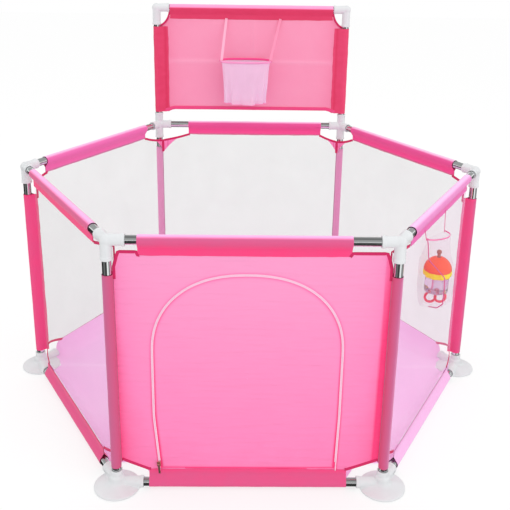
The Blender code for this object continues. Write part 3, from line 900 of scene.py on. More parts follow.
def build_rail_sleeves():
    upside_down = rotation(180, "X")
    for index, side in enumerate(SIDES):
        place = side_frame(index)
        lead, tail = TOP_SLEEVE_INSETS[index]
        top = place @ up_by(TOP_RAIL_Z)
        name = f"top_sleeve_{side}"
        cloth = RAIL_CLOTHS.get(side, "sleeve")
        piece = add_sleeve(name, "pen", top, lead, SIDE - tail, cloth, rail_sleeve_light_tone, seed=3.1 * index)
        loop_width()

        lead, tail = LOW_SLEEVE_INSET
        low = place @ up_by(LOW_RAIL_Z) @ upside_down
        # Painted light and shade: the low sleeve on the pouch's side faces the light from the right and is
        # painted paler, the others deep rose in painted shade.
        painted_light_tone = 0.85 if index == POUCH_SIDE else 0.2
        name = f"low_sleeve_{side}"

        def low_tone(x, _across, height, painted_light_tone=painted_light_tone):
            seam = abs(x - SIDE / 2) < 0.002
            edge = smooth_step(-PINCH, -HEM, height)
            return mix(painted_light_tone, 0.08 if painted_light_tone < 0.5 else 0.6, edge) - (0.15 if seam else 0.0)

        cloth = "right_sleeve" if index == POUCH_SIDE else "sleeve"
        piece = add_sleeve(name, "pen", low, lead, SIDE - tail, cloth, low_tone, seed=5.7 * index)
        loop_width()


POST_PINCH = 0.0185
# Each post sleeve's painted light and shade: its tone in its middle, and how much painted light it gains
# towards its left and towards its outer side.
POST_TONES = {
    "front_left": (0.28, 0.16, 0.0),
    "front_right": (0.36, -0.34, 0.0),
    "right": (0.14, 0.0, 0.25),
    "rear_right": (0.46, 0.0, 0.0),
    "rear_left": (0.52, 0.0, 0.0),
    "left": (0.12, 0.0, 0.0),
}


# The copy of the pink cloth, with its painted light and shade, that each post's sleeve takes, in the order of
# CORNERS.
POST_CLOTHS = ("post_sleeve", "post_sleeve", "sleeve", "far_left_sleeve", "far_left_sleeve", "sleeve")


def build_post_sleeves():
    for index, corner in enumerate(CORNERS):
        post = corner_frame(index)
        out = direction_in(post, -1, 0, 0)
        place = axes_frame(post.to_translation(), (0, 0, 1), out)
        base, left, outer = POST_TONES[corner]

        def tone(x, across, height, base=base, left=left, outer=outer):
            side_light = (left * across + outer * max(height, 0.0)) / LOOP_R
            end = 0.08 * smooth_step(0.012, 0.0, min(x - POST_SLEEVE_LOW, POST_SLEEVE_TOP - x))
            return base + side_light - end - 0.15 * base * smooth_step(-PINCH, -FLANGE, height)

        piece = add_sleeve(
            f"post_cloth_{corner}", "pen", place, POST_SLEEVE_LOW, POST_SLEEVE_TOP, POST_CLOTHS[index], tone,
            pinch=POST_PINCH, hem=FLANGE, crease=0.0007, seed=2.3 * index,
        )
        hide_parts(f"post_sleeve_{corner}")
        loop_width(POST_PINCH, FLANGE)


# ---------------------------------------------------------------- sides


def top_edge(index, x):
    """Height of a side's cloth at x: sewn into the rail sleeve's hem, and cut back round the connectors."""
    lead, tail = TOP_SLEEVE_INSETS[index]
    corner, reach, near = CORNER_TOP[index], lead, x
    if x > SIDE / 2:
        corner, reach, near = CORNER_TOP[(index + 1) % len(CORNERS)], tail, SIDE - x
    if near >= reach:
        return TOP_EDGE
    if index == FRONT:
        return mix(FRONT_CORNER_LOW, FRONT_CORNER_TOP, smooth_step(FLANGE_X - 0.004, FRONT_CORNER_X, near))
    return mix(corner, TOP_EDGE - SEWN, clamp((near - FLANGE_X) / (reach - FLANGE_X)) ** 1.7)


def low_edge(x):
    """Height of a side's lower edge at x."""
    near, reach = (x, LOW_SLEEVE_INSET[0]) if x < SIDE / 2 else (SIDE - x, LOW_SLEEVE_INSET[1])
    if near >= reach:
        return LOW_EDGE
    return mix(CORNER_LOW, LOW_EDGE + SEWN, clamp((near - FLANGE_X) / (reach - FLANGE_X)))


def post_pull(x, pull=FLANGE_Y):
    """How far the cloth turns in beside the posts, where it is sewn to their sleeves."""
    near = to_post(x)
    return pull * fade(near - FLANGE_X, 0.03)


def mesh_hang(index, x, z):
    """How far a mesh side hangs inside its rails' plane."""
    share = clamp((z - LOW_EDGE) / (TOP_EDGE - LOW_EDGE))
    bulge = MESH_BULGE * (1 - abs(2 * share - 1) ** 4)
    wave = 0.0012 * noise_at(x * 7, z * 5, 3.0 * index) * (1 - abs(2 * share - 1) ** 2)
    if index == POUCH_SIDE:
        above = (z - COLLAR_Z) * (0.35 if z > COLLAR_Z else 1.0)
        bulge += TOY_PUSH * math.exp(-((x - TOY_X) ** 2 + above**2) / 0.065**2)
    return 0.0008 + max(bulge, post_pull(x)) + wave


def front_hang(x, z):
    """How far the front cloth lies inside its rails' plane, with its slack and its small creases."""
    share = clamp((z - LOW_EDGE) / (TOP_EDGE - LOW_EDGE))
    middle = math.sin(math.pi * share) ** 0.6
    slack = 0.0022 * noise_at(x * 5, z * 4, 1.7) * middle
    near = to_post(x) - FLANGE_X
    edge = fade(near, 0.075)
    creases = 0.0014 * edge * noise_at(x * 7, z * 62, 4.2) * middle
    creases += 0.0013 * fade(near, 0.10) * noise_at(x * 9, z * 120, 8.1) * middle
    return post_pull(x, FRONT_PULL) + slack + creases


def columns_along(index, step=0.007):
    """Places along a side, with one at each end of the two sleeves."""
    lead, tail = TOP_SLEEVE_INSETS[index]
    marks = [FLANGE_X, LOW_SLEEVE_INSET[0], lead, SIDE - LOW_SLEEVE_INSET[1], SIDE - tail, SIDE - FLANGE_X]
    marks.sort()
    places = [marks[0]]
    for before, after in zip(marks, marks[1:]):
        count = max(1, round((after - before) / step))
        places += [mix(before, after, s) for s in shares(count)[1:]]
    return places


# Which net the mesh sides are made of where it isn't the plain one.
MESH_OF_SIDE = {"front_left": "near_mesh", "front_right": "right_mesh"}


def build_mesh_side(index):
    side = SIDES[index]
    place = side_frame(index)

    def at(x, t):
        z = mix(low_edge(x), top_edge(index, x), t)
        return place @ Vector((x, mesh_hang(index, x, z), z)), 0.5, (x, z)

    name = f"mesh_side_{side}"
    mesh = grid_mesh(name, columns_along(index), shares(70), at, MESH_OF_SIDE.get(side, "mesh"))
    piece = add_object(name, mesh, "pen")
    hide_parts(f"side_panel_{side}")
    build_edge_bindings(index) + build_gussets(index)


def edge_path(index, end, level):
    """A free edge by a connector, from the sleeve's end to the post, and at the top on down to its sleeve."""
    hang = front_hang if index == FRONT else lambda x, z: mesh_hang(index, x, z)
    if level == "top":
        reach = TOP_SLEEVE_INSETS[index][end]
    else:
        reach = LOW_SLEEVE_INSET[end]
    points = []
    for s in shares(16):
        near = mix(reach + 0.004, FLANGE_X + 0.001, s)
        x = from_end(near, end)
        z = top_edge(index, x) if level == "top" else low_edge(x)
        if near > reach:
            z = TOP_EDGE - SEWN if level == "top" else LOW_EDGE + SEWN
        points.append(Vector((x, hang(x, z), z)))
    if level == "top":
        x = FLANGE_X + 0.001 if end == 0 else SIDE - FLANGE_X - 0.001
        top = points[-1].z
        for s in shares(5)[1:]:
            z = mix(top, POST_SLEEVE_TOP - 0.012, s)
            points.append(Vector((x, hang(x, z), z)))
    return points


def build_edge_bindings(index):
    place = side_frame(index)
    inwards = direction_in(place, 0, 1, 0)
    section = band_section(0.0075, 0.0024)
    pieces = []
    for end in (0, 1):
        for level in ("top", "low"):
            path = [place @ point for point in edge_path(index, end, level)]
            name = f"binding_{SIDES[index]}_{level}_{'start' if end == 0 else 'end'}"
            pieces.append(add_trim(name, path, section, "binding", inwards, "pen", tone=0.25))
    return pieces


# Width and height of the cloth gusset under the binding at a side's start and end, where it has one.
GUSSETS = {
    "front_right": (None, (0.030, 0.028)),
    "rear_right": ((0.030, 0.030), (0.036, 0.036)),
    "rear": ((0.036, 0.036), (0.056, 0.042)),
    "rear_left": ((0.026, 0.030), (0.030, 0.030)),
    "front_left": ((0.030, 0.028), None),
}


def build_gussets(index):
    """Three-cornered patches of cloth that take the pull at the mesh's top corners."""
    place = side_frame(index)
    pieces = []
    for end, size in enumerate(GUSSETS.get(SIDES[index], ())):
        if size is None:
            continue
        across, down = size

        def at(s, t, end=end, across=across, down=down):
            near = FLANGE_X + across * s
            x = from_end(near, end)
            top = top_edge(index, x)
            low = top - down * (1 - s) ** 1.6 - 0.002
            z = mix(low, top, t)
            back = mesh_hang(index, x, z) + 0.0009
            seam = abs(s - 0.3) < 0.04
            return place @ Vector((x, back, z)), 0.35 if seam else 0.56 + 0.1 * t, (x, z)

        name = f"gusset_{SIDES[index]}_{'start' if end == 0 else 'end'}"
        mesh = grid_mesh(name, shares(20), shares(10), at, "sleeve")
        pieces.append(add_object(name, mesh, "pen"))
    return pieces


# ---------------------------------------------------------------- front side, door and zip


ARCH_ROUNDING = 0.88  # 1 makes the arch a half ellipse, less squares its shoulders
ARCH_STEP = 0.004
ARCH_SOFTENINGS = 12  # passes that round the line's corners
RAYS = 220  # evenly spaced directions round the door's middle


def arch_line():
    """The zip's line from the left foot of the doorway over the arch to the right foot, as (x, z)."""
    half = [(DOOR_HALF, DOOR_KNEE), (DOOR_HALF, DOOR_SPRING)]
    quarter = 30
    for index in range(1, quarter + 1):
        angle = math.pi / 2 * index / quarter
        across = DOOR_HALF * math.cos(angle) ** ARCH_ROUNDING
        half.append((across, mix(DOOR_SPRING, DOOR_TOP, math.sin(angle) ** ARCH_ROUNDING)))
    corners = [(DOOR_X - DOOR_SILL_LEFT, DOOR_SILL)]
    corners += [(DOOR_X - across, z) for across, z in half]
    corners += [(DOOR_X + across, z) for across, z in reversed(half[:-1])]
    corners.append((DOOR_X + DOOR_SILL_RIGHT, DOOR_SILL))
    points = []
    for before, after in zip(corners, corners[1:]):
        count = max(1, round(math.dist(before, after) / ARCH_STEP))
        points += [(mix(before[0], after[0], s), mix(before[1], after[1], s)) for s in shares(count)[:-1]]
    points.append(corners[-1])
    for _ in range(ARCH_SOFTENINGS):
        softened = [points[0]]
        for before, here, after in zip(points, points[1:], points[2:]):
            softened.append(tuple((b + 2 * h + a) / 4 for b, h, a in zip(before, here, after)))
        points = softened + [points[-1]]
    return points


ARCH = arch_line()
DOOR_MIDDLE = (DOOR_X, 0.30)


def offset_arch(away):
    """The arch's line moved outwards in the side's plane."""
    moved = []
    last = len(ARCH) - 1
    for index, (x, z) in enumerate(ARCH):
        before, after = ARCH[max(index - 1, 0)], ARCH[min(index + 1, last)]
        along = Vector((after[0] - before[0], after[1] - before[1])).normalized()
        moved.append((x - along.y * away, z + along.x * away))
    return moved


def reach_to(outline, angle):
    """Distance from the door's middle to an outline in a direction."""
    ray = (math.cos(angle), math.sin(angle))
    for start, end in zip(outline, outline[1:] + outline[:1]):
        edge = (end[0] - start[0], end[1] - start[1])
        away = (start[0] - DOOR_MIDDLE[0], start[1] - DOOR_MIDDLE[1])
        cross = ray[0] * edge[1] - ray[1] * edge[0]
        if abs(cross) < 1e-12:
            continue
        distance = (away[0] * edge[1] - away[1] * edge[0]) / cross
        share = (away[0] * ray[1] - away[1] * ray[0]) / cross
        if distance > 0 and -1e-9 <= share <= 1 + 1e-9:
            return distance
    raise ValueError("the outline doesn't go round the door's middle")


def away_from_middle(angle, distance):
    """The (x, z) at a distance from the door's middle in a direction."""
    return DOOR_MIDDLE[0] + distance * math.cos(angle), DOOR_MIDDLE[1] + distance * math.sin(angle)


def front_outline():
    places = columns_along(FRONT, 0.005)
    return [(x, low_edge(x)) for x in places] + [(x, top_edge(FRONT, x)) for x in reversed(places)]


def angle_of(point):
    """The direction of an (x, z) from the door's middle."""
    return math.atan2(point[1] - DOOR_MIDDLE[1], point[0] - DOOR_MIDDLE[0])


def front_tone(x, z):
    """Paler at the top of the front cloth and stronger pink lower down, in part painted light. The stronger
    pink beside the posts is painted shade, where the cloth turns in to them.
    """
    height = clamp((z - LOW_EDGE) / (TOP_EDGE - LOW_EDGE))
    near = to_post(x) - FLANGE_X
    base = mix(0.42, 0.88, height ** 1.3)
    # Painted shade beside the posts.
    edge = 0.30 * fade(near, 0.022) + 0.10 * fade(near, 0.09)
    fold = 0.35 * smooth_step(0.018, 0.012, SIDE - x - FLANGE_X)
    return base - edge - fold


def front_point(x, z, out=0.0):
    """A point of the front cloth, or one that stands out from it."""
    return side_frame(FRONT) @ Vector((x, front_hang(x, z) - out, z))


def zip_shade(z):
    """How deep the painted shade is on the cloth where it is gathered to the zip: most of all low on its
    legs.
    """
    return mix(0.60, 0.42, smooth_step(DOOR_SILL, DOOR_KNEE, z))


def build_front():
    outer, inner = front_outline(), ARCH
    corners = [angle_of(point) for point in outer] + [angle_of(inner[0]), angle_of(inner[-1])]
    angles = sorted(set(round(a, 6) for a in corners + [turn - math.pi for turn in turns(RAYS)]))

    def frame_at(angle, t):
        low, high = reach_to(inner, angle), reach_to(outer, angle)
        distance = mix(low, high, t)
        x, z = away_from_middle(angle, distance)
        # Painted shade on the cloth beside the zip.
        at_zip = smooth_step(0.009, 0.004, distance - low)
        return front_point(x, z), front_tone(x, z) - 0.7 * zip_shade(z) * at_zip, (x, z)

    rows = [0.0, 0.012, 0.024, 0.04, 0.06] + [0.08 + 0.92 * s for s in shares(24)]
    mesh = grid_mesh("front_side_cloth", angles, rows, frame_at, "panel", ring=True)
    piece = add_object("front_side_cloth", mesh, "pen")
    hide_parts("side_panel_front")
    build_edge_bindings(FRONT) + [build_zip_half("zip_outer_half", 1, "pen")]
    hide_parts("zip_chain")

    rings = [0.0] + [0.06 + 0.86 * s for s in shares(20)] + [0.94, 0.955, 0.97, 0.978, 0.986, 0.993, 1.0]

    def flap_at(angle, t):
        x, z = away_from_middle(angle, (reach_to(inner, angle) - 0.0006) * max(t, 0.002))
        # Painted shade on the door's cloth beside the zip.
        at_zip = smooth_step(0.962, 0.984, t) if z > DOOR_SILL + 0.004 else 0.0
        return front_point(x, z), front_tone(x, z) - zip_shade(z) * at_zip, (x, z)

    mesh = grid_mesh("door_cloth", angles, rings, flap_at, "panel", ring=True)
    flap = add_object("door_cloth", mesh, None)
    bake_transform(flap)
    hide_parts("door_flap")
    build_zip_half("zip_inner_half", -1, "door")


def build_zip_half(name, side, body):
    """One half of the zip, one rounded band along the arch. Side is 1 outside the doorway and -1 inside it.
    """
    line = offset_arch(side * ZIP_HALF / 2)
    if side < 0:
        line = line[6:-6]
    path = [front_point(x, z, 0.0008) for x, z in line]
    normal = direction_in(side_frame(FRONT), 0, -1, 0)
    mesh = sweep_mesh(name, path, band_section(ZIP_HALF, 0.0024), "zip", normal, tone=0.95)
    return add_object(name, mesh, body)


# ---------------------------------------------------------------- floor

FLOOR_Z = 0.0042
FLOOR_RISE = 0.055  # how far in from the edge the floor's cloth lies flat
# Along each rail from a post's axis to the notch in the floor's corner, in the order of CORNERS.
FLOOR_NOTCHES = (0.100, 0.100, 0.060, 0.088, 0.088, 0.060)
FLOOR_TOP_EDGE = LOW_RAIL_Z + HEM + 0.001


def floor_edge(index, s):
    """A side's floor edge at share s of its length: sewn over the lower sleeve, cut back round each foot."""
    lead, tail = FLOOR_NOTCHES[index], FLOOR_NOTCHES[(index + 1) % len(SIDES)]
    x = mix(lead / 2, SIDE - tail / 2, s)
    near, notch = (x, lead) if s < 0.5 else (SIDE - x, tail)
    cut = (notch - near) * math.tan(math.radians(60))
    sewn = smooth_step(notch - 0.01, notch + 0.015, near)
    return Vector((x, max(cut, 0.0018), mix(FLOOR_Z, FLOOR_TOP_EDGE, sewn)))


def build_floor():
    """One hexagon of cloth that lies on the floor and rises to the lower sleeves along its edge."""
    form = bmesh.new()
    tone_layer = form.verts.layers.float.new("tone")
    rows = [0.5 * s for s in shares(30)[:-1]] + [0.5 + 0.5 * s for s in shares(8)]
    rows = [0.0] + [s ** 1.4 for s in rows[1:]]
    for index in range(len(SIDES)):
        place = side_frame(index)
        middle = place.inverted() @ Vector((0, 0, FLOOR_Z))
        grid = []
        for s in shares(60):
            column = []
            edge = floor_edge(index, s)
            depth = (Vector((middle.x, middle.y)) - Vector((edge.x, edge.y))).length
            for t in rows:
                plan = edge.lerp(Vector((middle.x, middle.y, edge.z)), t)
                inward = clamp(1 - t * depth / FLOOR_RISE)
                lift = (edge.z - FLOOR_Z) * inward ** 2.2
                point = place @ Vector((plan.x, plan.y, FLOOR_Z + lift))
                wave = noise_at(point.x * 6, point.y * 6, 2.0)
                crease = ridge(point.x, 0.006) + ridge(point.y, 0.006)
                point.z += (0.0012 * max(wave, 0.0) + 0.0012 * crease) * clamp(t * depth / 0.02)
                vertex = form.verts.new(point)
                # Painted light: the cloth's tone rises with the waves and creases that lift it.
                vertex[tone_layer] = 0.6 + 0.25 * wave + 0.2 * crease
                column.append(vertex)
            grid.append(column)
        for left, right in zip(grid, grid[1:]):
            for row in range(len(rows) - 1):
                form.faces.new((left[row], right[row], right[row + 1], left[row + 1]))
    bmesh.ops.remove_doubles(form, verts=form.verts, dist=0.0002)
    uv_layer = form.loops.layers.uv.new("metres")
    for face in form.faces:
        face.smooth = True
        for loop in face.loops:
            loop[uv_layer].uv = loop.vert.co.xy
    mesh = bpy.data.meshes.new("floor_cloth")
    form.to_mesh(mesh)
    form.free()
    mesh.materials.append(MATERIALS["floor"])
    piece = add_object("floor_cloth", mesh, "pen")
    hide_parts("floor_sheet")


# ---------------------------------------------------------------- backboard, hoop and net


def board_top(x):
    """Height of the board's cloth: in the top sleeve's hem, and round the two corner cut-outs."""
    near = to_post(x)
    if near >= BOARD_CUT_X:
        return BOARD_AXIS_Z - BOARD_HEM + SEWN
    return BOARD_AXIS_Z - BOARD_CUT_Z * math.sqrt(1 - (near / BOARD_CUT_X) ** 2) - 0.001


def board_bottom(x):
    near = to_post(x)
    return BOARD_LOW + 0.009 * smooth_step(BOARD_POCKET - 0.012, BOARD_POCKET + 0.02, near)


BOARD_HEM = 0.036
BOARD_POCKET = 0.037  # how far a side pocket reaches from its upright
BOARD_PINCH = 0.027
CREASE_Z = 0.862  # the folds left from packing
CREASE_X = 0.31


def board_hang(x, z):
    """How far the board's cloth stands towards the pen."""
    near = to_post(x)
    free = smooth_step(BOARD_POCKET, BOARD_POCKET + 0.03, near)
    free *= smooth_step(0.0, 0.02, BOARD_AXIS_Z - BOARD_HEM - z)
    crease = 0.0014 * ridge(z - CREASE_Z, 0.006)
    crease += 0.0008 * ridge(x - CREASE_X, 0.006)
    wave = 0.0022 * noise_at(x * 8, z * 8, 9.0)
    wave += 0.0008 * noise_at(x * 14, z * 60, 5.0) * fade(near, 0.09)
    return free * (0.0006 + crease + max(wave, -0.0012))


def build_board():
    place = side_frame(REAR)
    edge = 0.0135

    def at(s, t):
        x = mix(edge, SIDE - edge, s)
        z = mix(board_bottom(x), board_top(x), t)
        # The creases are painted paler: a painted highlight on the raised folds.
        crease = ridge(z - CREASE_Z, 0.008) + 0.2 * ridge(x - CREASE_X, 0.006)
        side = fade(to_post(x) - BOARD_POCKET, 0.03)
        return place @ Vector((x, board_hang(x, z), z)), 0.62 + 0.16 * crease - 0.25 * side, (x, z)

    mesh = grid_mesh("board_cloth", shares(150), shares(90), at, "board")
    cloth = add_object("board_cloth", mesh, "backboard")
    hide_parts("backboard_panel")
    normal = direction_in(place, 0, 1, 0)

    path = []
    for s in shares(60):
        x = mix(0.004, SIDE - 0.004, s)
        z = board_bottom(x) + 0.006
        path.append(place @ Vector((x, board_hang(x, z) + 0.0012, z)))
    section = band_section(0.012, 0.0030)
    add_trim("board_bottom_binding", path, section, "sleeve", normal, "backboard", tone=0.12)

    for end, corner in enumerate(("rear_right", "rear_left")):
        path = []
        for s in shares(20):
            angle = math.pi / 2 * mix(0.16, 0.97, s)
            near = BOARD_CUT_X * math.sin(angle)
            x = from_end(near, end)
            path.append(place @ Vector((x, 0.0015, BOARD_AXIS_Z - BOARD_CUT_Z * math.cos(angle))))
        name = f"board_corner_binding_{corner}"
        section = band_section(0.0065, 0.0026)
        add_trim(name, path, section, "binding", normal, "backboard", tone=0.2)
    build_board_sleeves(place)


def build_board_sleeves(place):
    # Painted light on the board's top sleeve: a sheen highlight along its top, deep pink in painted shade
    # below.
    def top_light_tone(_x, _across, height):
        return mix(0.08, 0.93, smooth_step(-0.001, 0.004, height))

    top = place @ up_by(BOARD_AXIS_Z)
    piece = add_sleeve(
        "board_top_sleeve", "backboard", top, BOARD_CUT_X, SIDE - BOARD_CUT_X, "board_sleeve", top_light_tone,
        hem=BOARD_HEM, seed=40.0,
    )
    loop_width(PINCH, BOARD_HEM)
    for end, corner in enumerate(("rear_right", "rear_left")):
        out = direction_in(place, -1 if end == 0 else 1, 0, 0)
        upright = axes_frame(place @ Vector((SIDE * end, 0, 0)), (0, 0, 1), out)
        base = 0.16 if end == 0 else 0.10

        def tone(z, _across, height, base=base):
            seam = abs(height + BOARD_PINCH + 0.001) < 0.0026
            fold = 0.06 * noise_at(z * 80, height * 40, base * 50)
            return base + fold - (0.12 if seam else 0.0)

        piece = add_sleeve(
            f"board_pocket_{corner}", "backboard", upright, BOARD_LOW + 0.001,
            BOARD_AXIS_Z - BOARD_CUT_Z - 0.001, "board_sleeve", tone,
            pinch=BOARD_PINCH, hem=BOARD_POCKET, crease=0.0016, seed=50.0 + end,
        )
        loop_width(BOARD_PINCH, BOARD_POCKET)


def hoop_point(angle, scale=1.0, grow=0.0):
    """A point of the hoop's rounded rectangle, in the rear side's frame, at the hoop's height."""
    cosine, sine = math.cos(angle), math.sin(angle)
    wide = squared_off(cosine, 0.75) * (HOOP_HALF_X * scale + grow)
    deep = squared_off(sine, 0.75) * (HOOP_HALF_Y * scale + grow)
    return Vector((HOOP_X + wide, HOOP_BACK + HOOP_HALF_Y + deep, HOOP_Z))


def build_hoop():
    place = side_frame(REAR)
    angles = turns(96)
    path = [place @ hoop_point(angle) for angle in angles]
    tones = [mix(0.0, 0.7, smooth_step(-0.2, 0.5, math.sin(angle))) for angle in angles]
    section = round_section(0.0034, 12)
    ring = add_trim("hoop_binding", path, section, "rear_sleeve", (0, 0, 1), "hoop", closed=True, tone=tones)
    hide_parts("hoop_ring")

    high, low = HOOP_Z - 0.0035, NET_LOW

    def net_point(angle, t):
        depth = 0.0012 + 0.0055 * t
        scale = mix(0.955, NET_LOW_SHARE, t ** 0.8)
        grow = depth * math.cos(NET_FOLDS * angle + 1.5 * math.sin(2 * angle)) * t
        grow += 0.004 * t * noise_at(math.cos(angle) * 3, math.sin(angle) * 3, t * 2)
        point = hoop_point(angle, scale, grow)
        point.z = mix(high, low, t) + 0.002 * t * math.sin(3 * angle)
        point.y = max(point.y, HOOP_BACK + 0.001)
        return point

    def at(s, t):
        point = net_point(2 * math.pi * s, t)
        fold = 0.5 + 0.3 * math.cos(2 * NET_FOLDS * math.pi * s) * t
        return place @ point, fold, (s * 0.5, t * 0.15)

    columns = shares(160)[:-1]
    mesh = grid_mesh("hoop_net_cloth", columns, shares(24), at, "net", ring=True)
    net = add_object("hoop_net_cloth", mesh, "hoop")
    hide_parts("hoop_net")
    path = [place @ net_point(2 * math.pi * s, 1.0) for s in columns]
    section = band_section(0.0035, 0.0014, 8)
    hem = add_trim("hoop_net_hem", path, section, "sleeve", (0, 0, 1), "hoop", closed=True, tone=0.62)
    for piece in (net, hem):
        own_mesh(piece)
    build_hoop_straps(place)


# Each hoop strap: where it leaves the board's top sleeve, its angle on the hoop in degrees, and its tone.
HOOP_STRAPS = {"right": (0.2224, 158, 0.5), "left": (0.4045, 22, 1.0)}


def build_hoop_straps(place):
    """The two webbing straps that hold the hoop level from the board's top sleeve."""
    normal = direction_in(place, 0, 1, 0.3)
    for end, (top_x, turn, tone) in HOOP_STRAPS.items():
        hook = hoop_point(math.radians(turn)) + Vector((0, 0, 0.003))
        start = Vector((top_x, 0.004, BOARD_AXIS_Z - BOARD_HEM + 0.004))
        path = []
        for s in shares(24):
            point = start.lerp(hook, s)
            point.y -= 0.002 * math.sin(math.pi * s)
            path.append(place @ point)
        section = band_section(0.009, 0.0012)
        strap = add_trim(f"hoop_strap_{end}", path, section, "board", normal, None, tone=tone)
        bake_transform(strap)


# ---------------------------------------------------------------- pouch and toy

POUCH_X = 0.266
POUCH_WIDE = 0.36  # the flat net's width
POUCH_DEEP = 0.26
TOY_PUSH = 0.0150  # how far the toy in the pouch pushes the mesh in
POUCH_HANG_Y = -0.004  # the mouth hangs straight down from the sleeve's hem, clear of the mesh
POUCH_NEAR_Z = 0.587  # the mouth's two ends
POUCH_FAR_Z = 0.556
POUCH_SAG = 0.006
# Height, half width and depth of each level of the pouch, from its mouth down.
POUCH_LEVELS = (
    (0.587, 0.080, 0.012),
    (0.540, 0.078, 0.036),
    (0.500, 0.066, 0.070),
    (0.480, 0.060, 0.082),
    (0.450, 0.054, 0.084),
    (0.405, 0.044, 0.076),
    (0.385, 0.030, 0.054),
    (0.376, 0.008, 0.020),
)
# The rattle in the pouch
TOY_X = 0.268
TOY_OUT = 0.0160
COLLAR_Z = 0.4630
COLLAR_R = 0.0360
COLLAR_HIGH = 0.0175
DRUM_Z = 0.4202
DRUM_R = 0.0295
RING_R = 0.0135
RING_WIRE = 0.0031
RING_APART = 0.0255
BEAD_R = 0.0042
BEADS = 7  # one near the drum's middle, the others round it
BEADS_OUT = 0.0205
BEADS_UP = 0.0062


def pouch_level(z):
    """Half width and depth of the pouch at a height."""
    for upper, lower in zip(POUCH_LEVELS, POUCH_LEVELS[1:]):
        if z >= lower[0]:
            straight = clamp((z - lower[0]) / (upper[0] - lower[0]))
            share = 0.4 * smooth_step(lower[0], upper[0], z) + 0.6 * straight
            return mix(lower[1], upper[1], share), mix(lower[2], upper[2], share)
    return POUCH_LEVELS[-1][1:]


def pouch_point(s, t):
    """The pouch's cloth in the side's frame: s goes once round it and t from the mouth to its foot."""
    angle = 2 * math.pi * s
    front = max(math.sin(angle), 0.0)
    mouth = mix(POUCH_NEAR_Z, POUCH_FAR_Z, (1 + math.cos(angle)) / 2) - POUCH_SAG * front
    z = mix(mouth, POUCH_LEVELS[-1][0], t)
    half, depth = pouch_level(z)
    half += 0.0018 * math.cos(14 * angle) * math.sin(math.pi * min(t + 0.1, 1))
    x = POUCH_X + half * math.cos(angle)
    back = mix(POUCH_HANG_Y, mesh_hang(POUCH_SIDE, x, z) - 0.0016, smooth_step(0.0, 0.3, t))
    deep = depth * front**0.8
    deep += 0.0016 * math.cos(16 * angle) * front * math.sin(math.pi * clamp(t))
    return Vector((x, back - deep, z))


def build_pouch():
    place = side_frame(POUCH_SIDE)

    def at(s, t):
        return place @ pouch_point(s, t), 0.5, (s * POUCH_WIDE, t * POUCH_DEEP)

    mesh = grid_mesh("pouch_net", shares(96)[:-1], shares(40), at, "pouch", ring=True)
    net = add_object("pouch_net", mesh, "pouch")
    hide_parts("toy_pouch")
    inwards = direction_in(place, 0, 1, 0)

    path = [place @ pouch_point(0.5 * s, 0.0) for s in shares(48)]
    section = band_section(0.0036, 0.0018)
    binding = add_trim("pouch_mouth_binding", path, section, "sleeve", inwards, "pouch", tone=0.5)

    line = [pouch_point(mix(0.49, 0.37, clamp(t * 2)), t) for t in shares(60)]
    path = [place @ (point + Vector((0, -0.0012, 0))) for point in line]
    seam = add_trim("pouch_seam", path, round_section(0.0013, 8), "sleeve", inwards, "pouch", tone=0.35)

    for name, s, lean in (("pouch_strap_near", 0.5, -0.008), ("pouch_strap_far", 0.0, 0.003)):
        corner = pouch_point(s, 0.0)
        path = []
        for t in shares(10):
            z = mix(TOP_RAIL_Z - 0.030, corner.z - 0.004, t)
            path.append(place @ Vector((corner.x + lean * (1 - t), mix(-0.0012, corner.y, t), z)))
        strap = add_trim(name, path, band_section(0.0036, 0.0012), "sleeve", inwards, None, tone=0.4)
        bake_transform(strap)


def add_turned(name, profile, material, place, count=64):
    """A turned part of the rattle."""
    return add_object(name, turned_mesh(name, profile, material, count, place), "rattle")


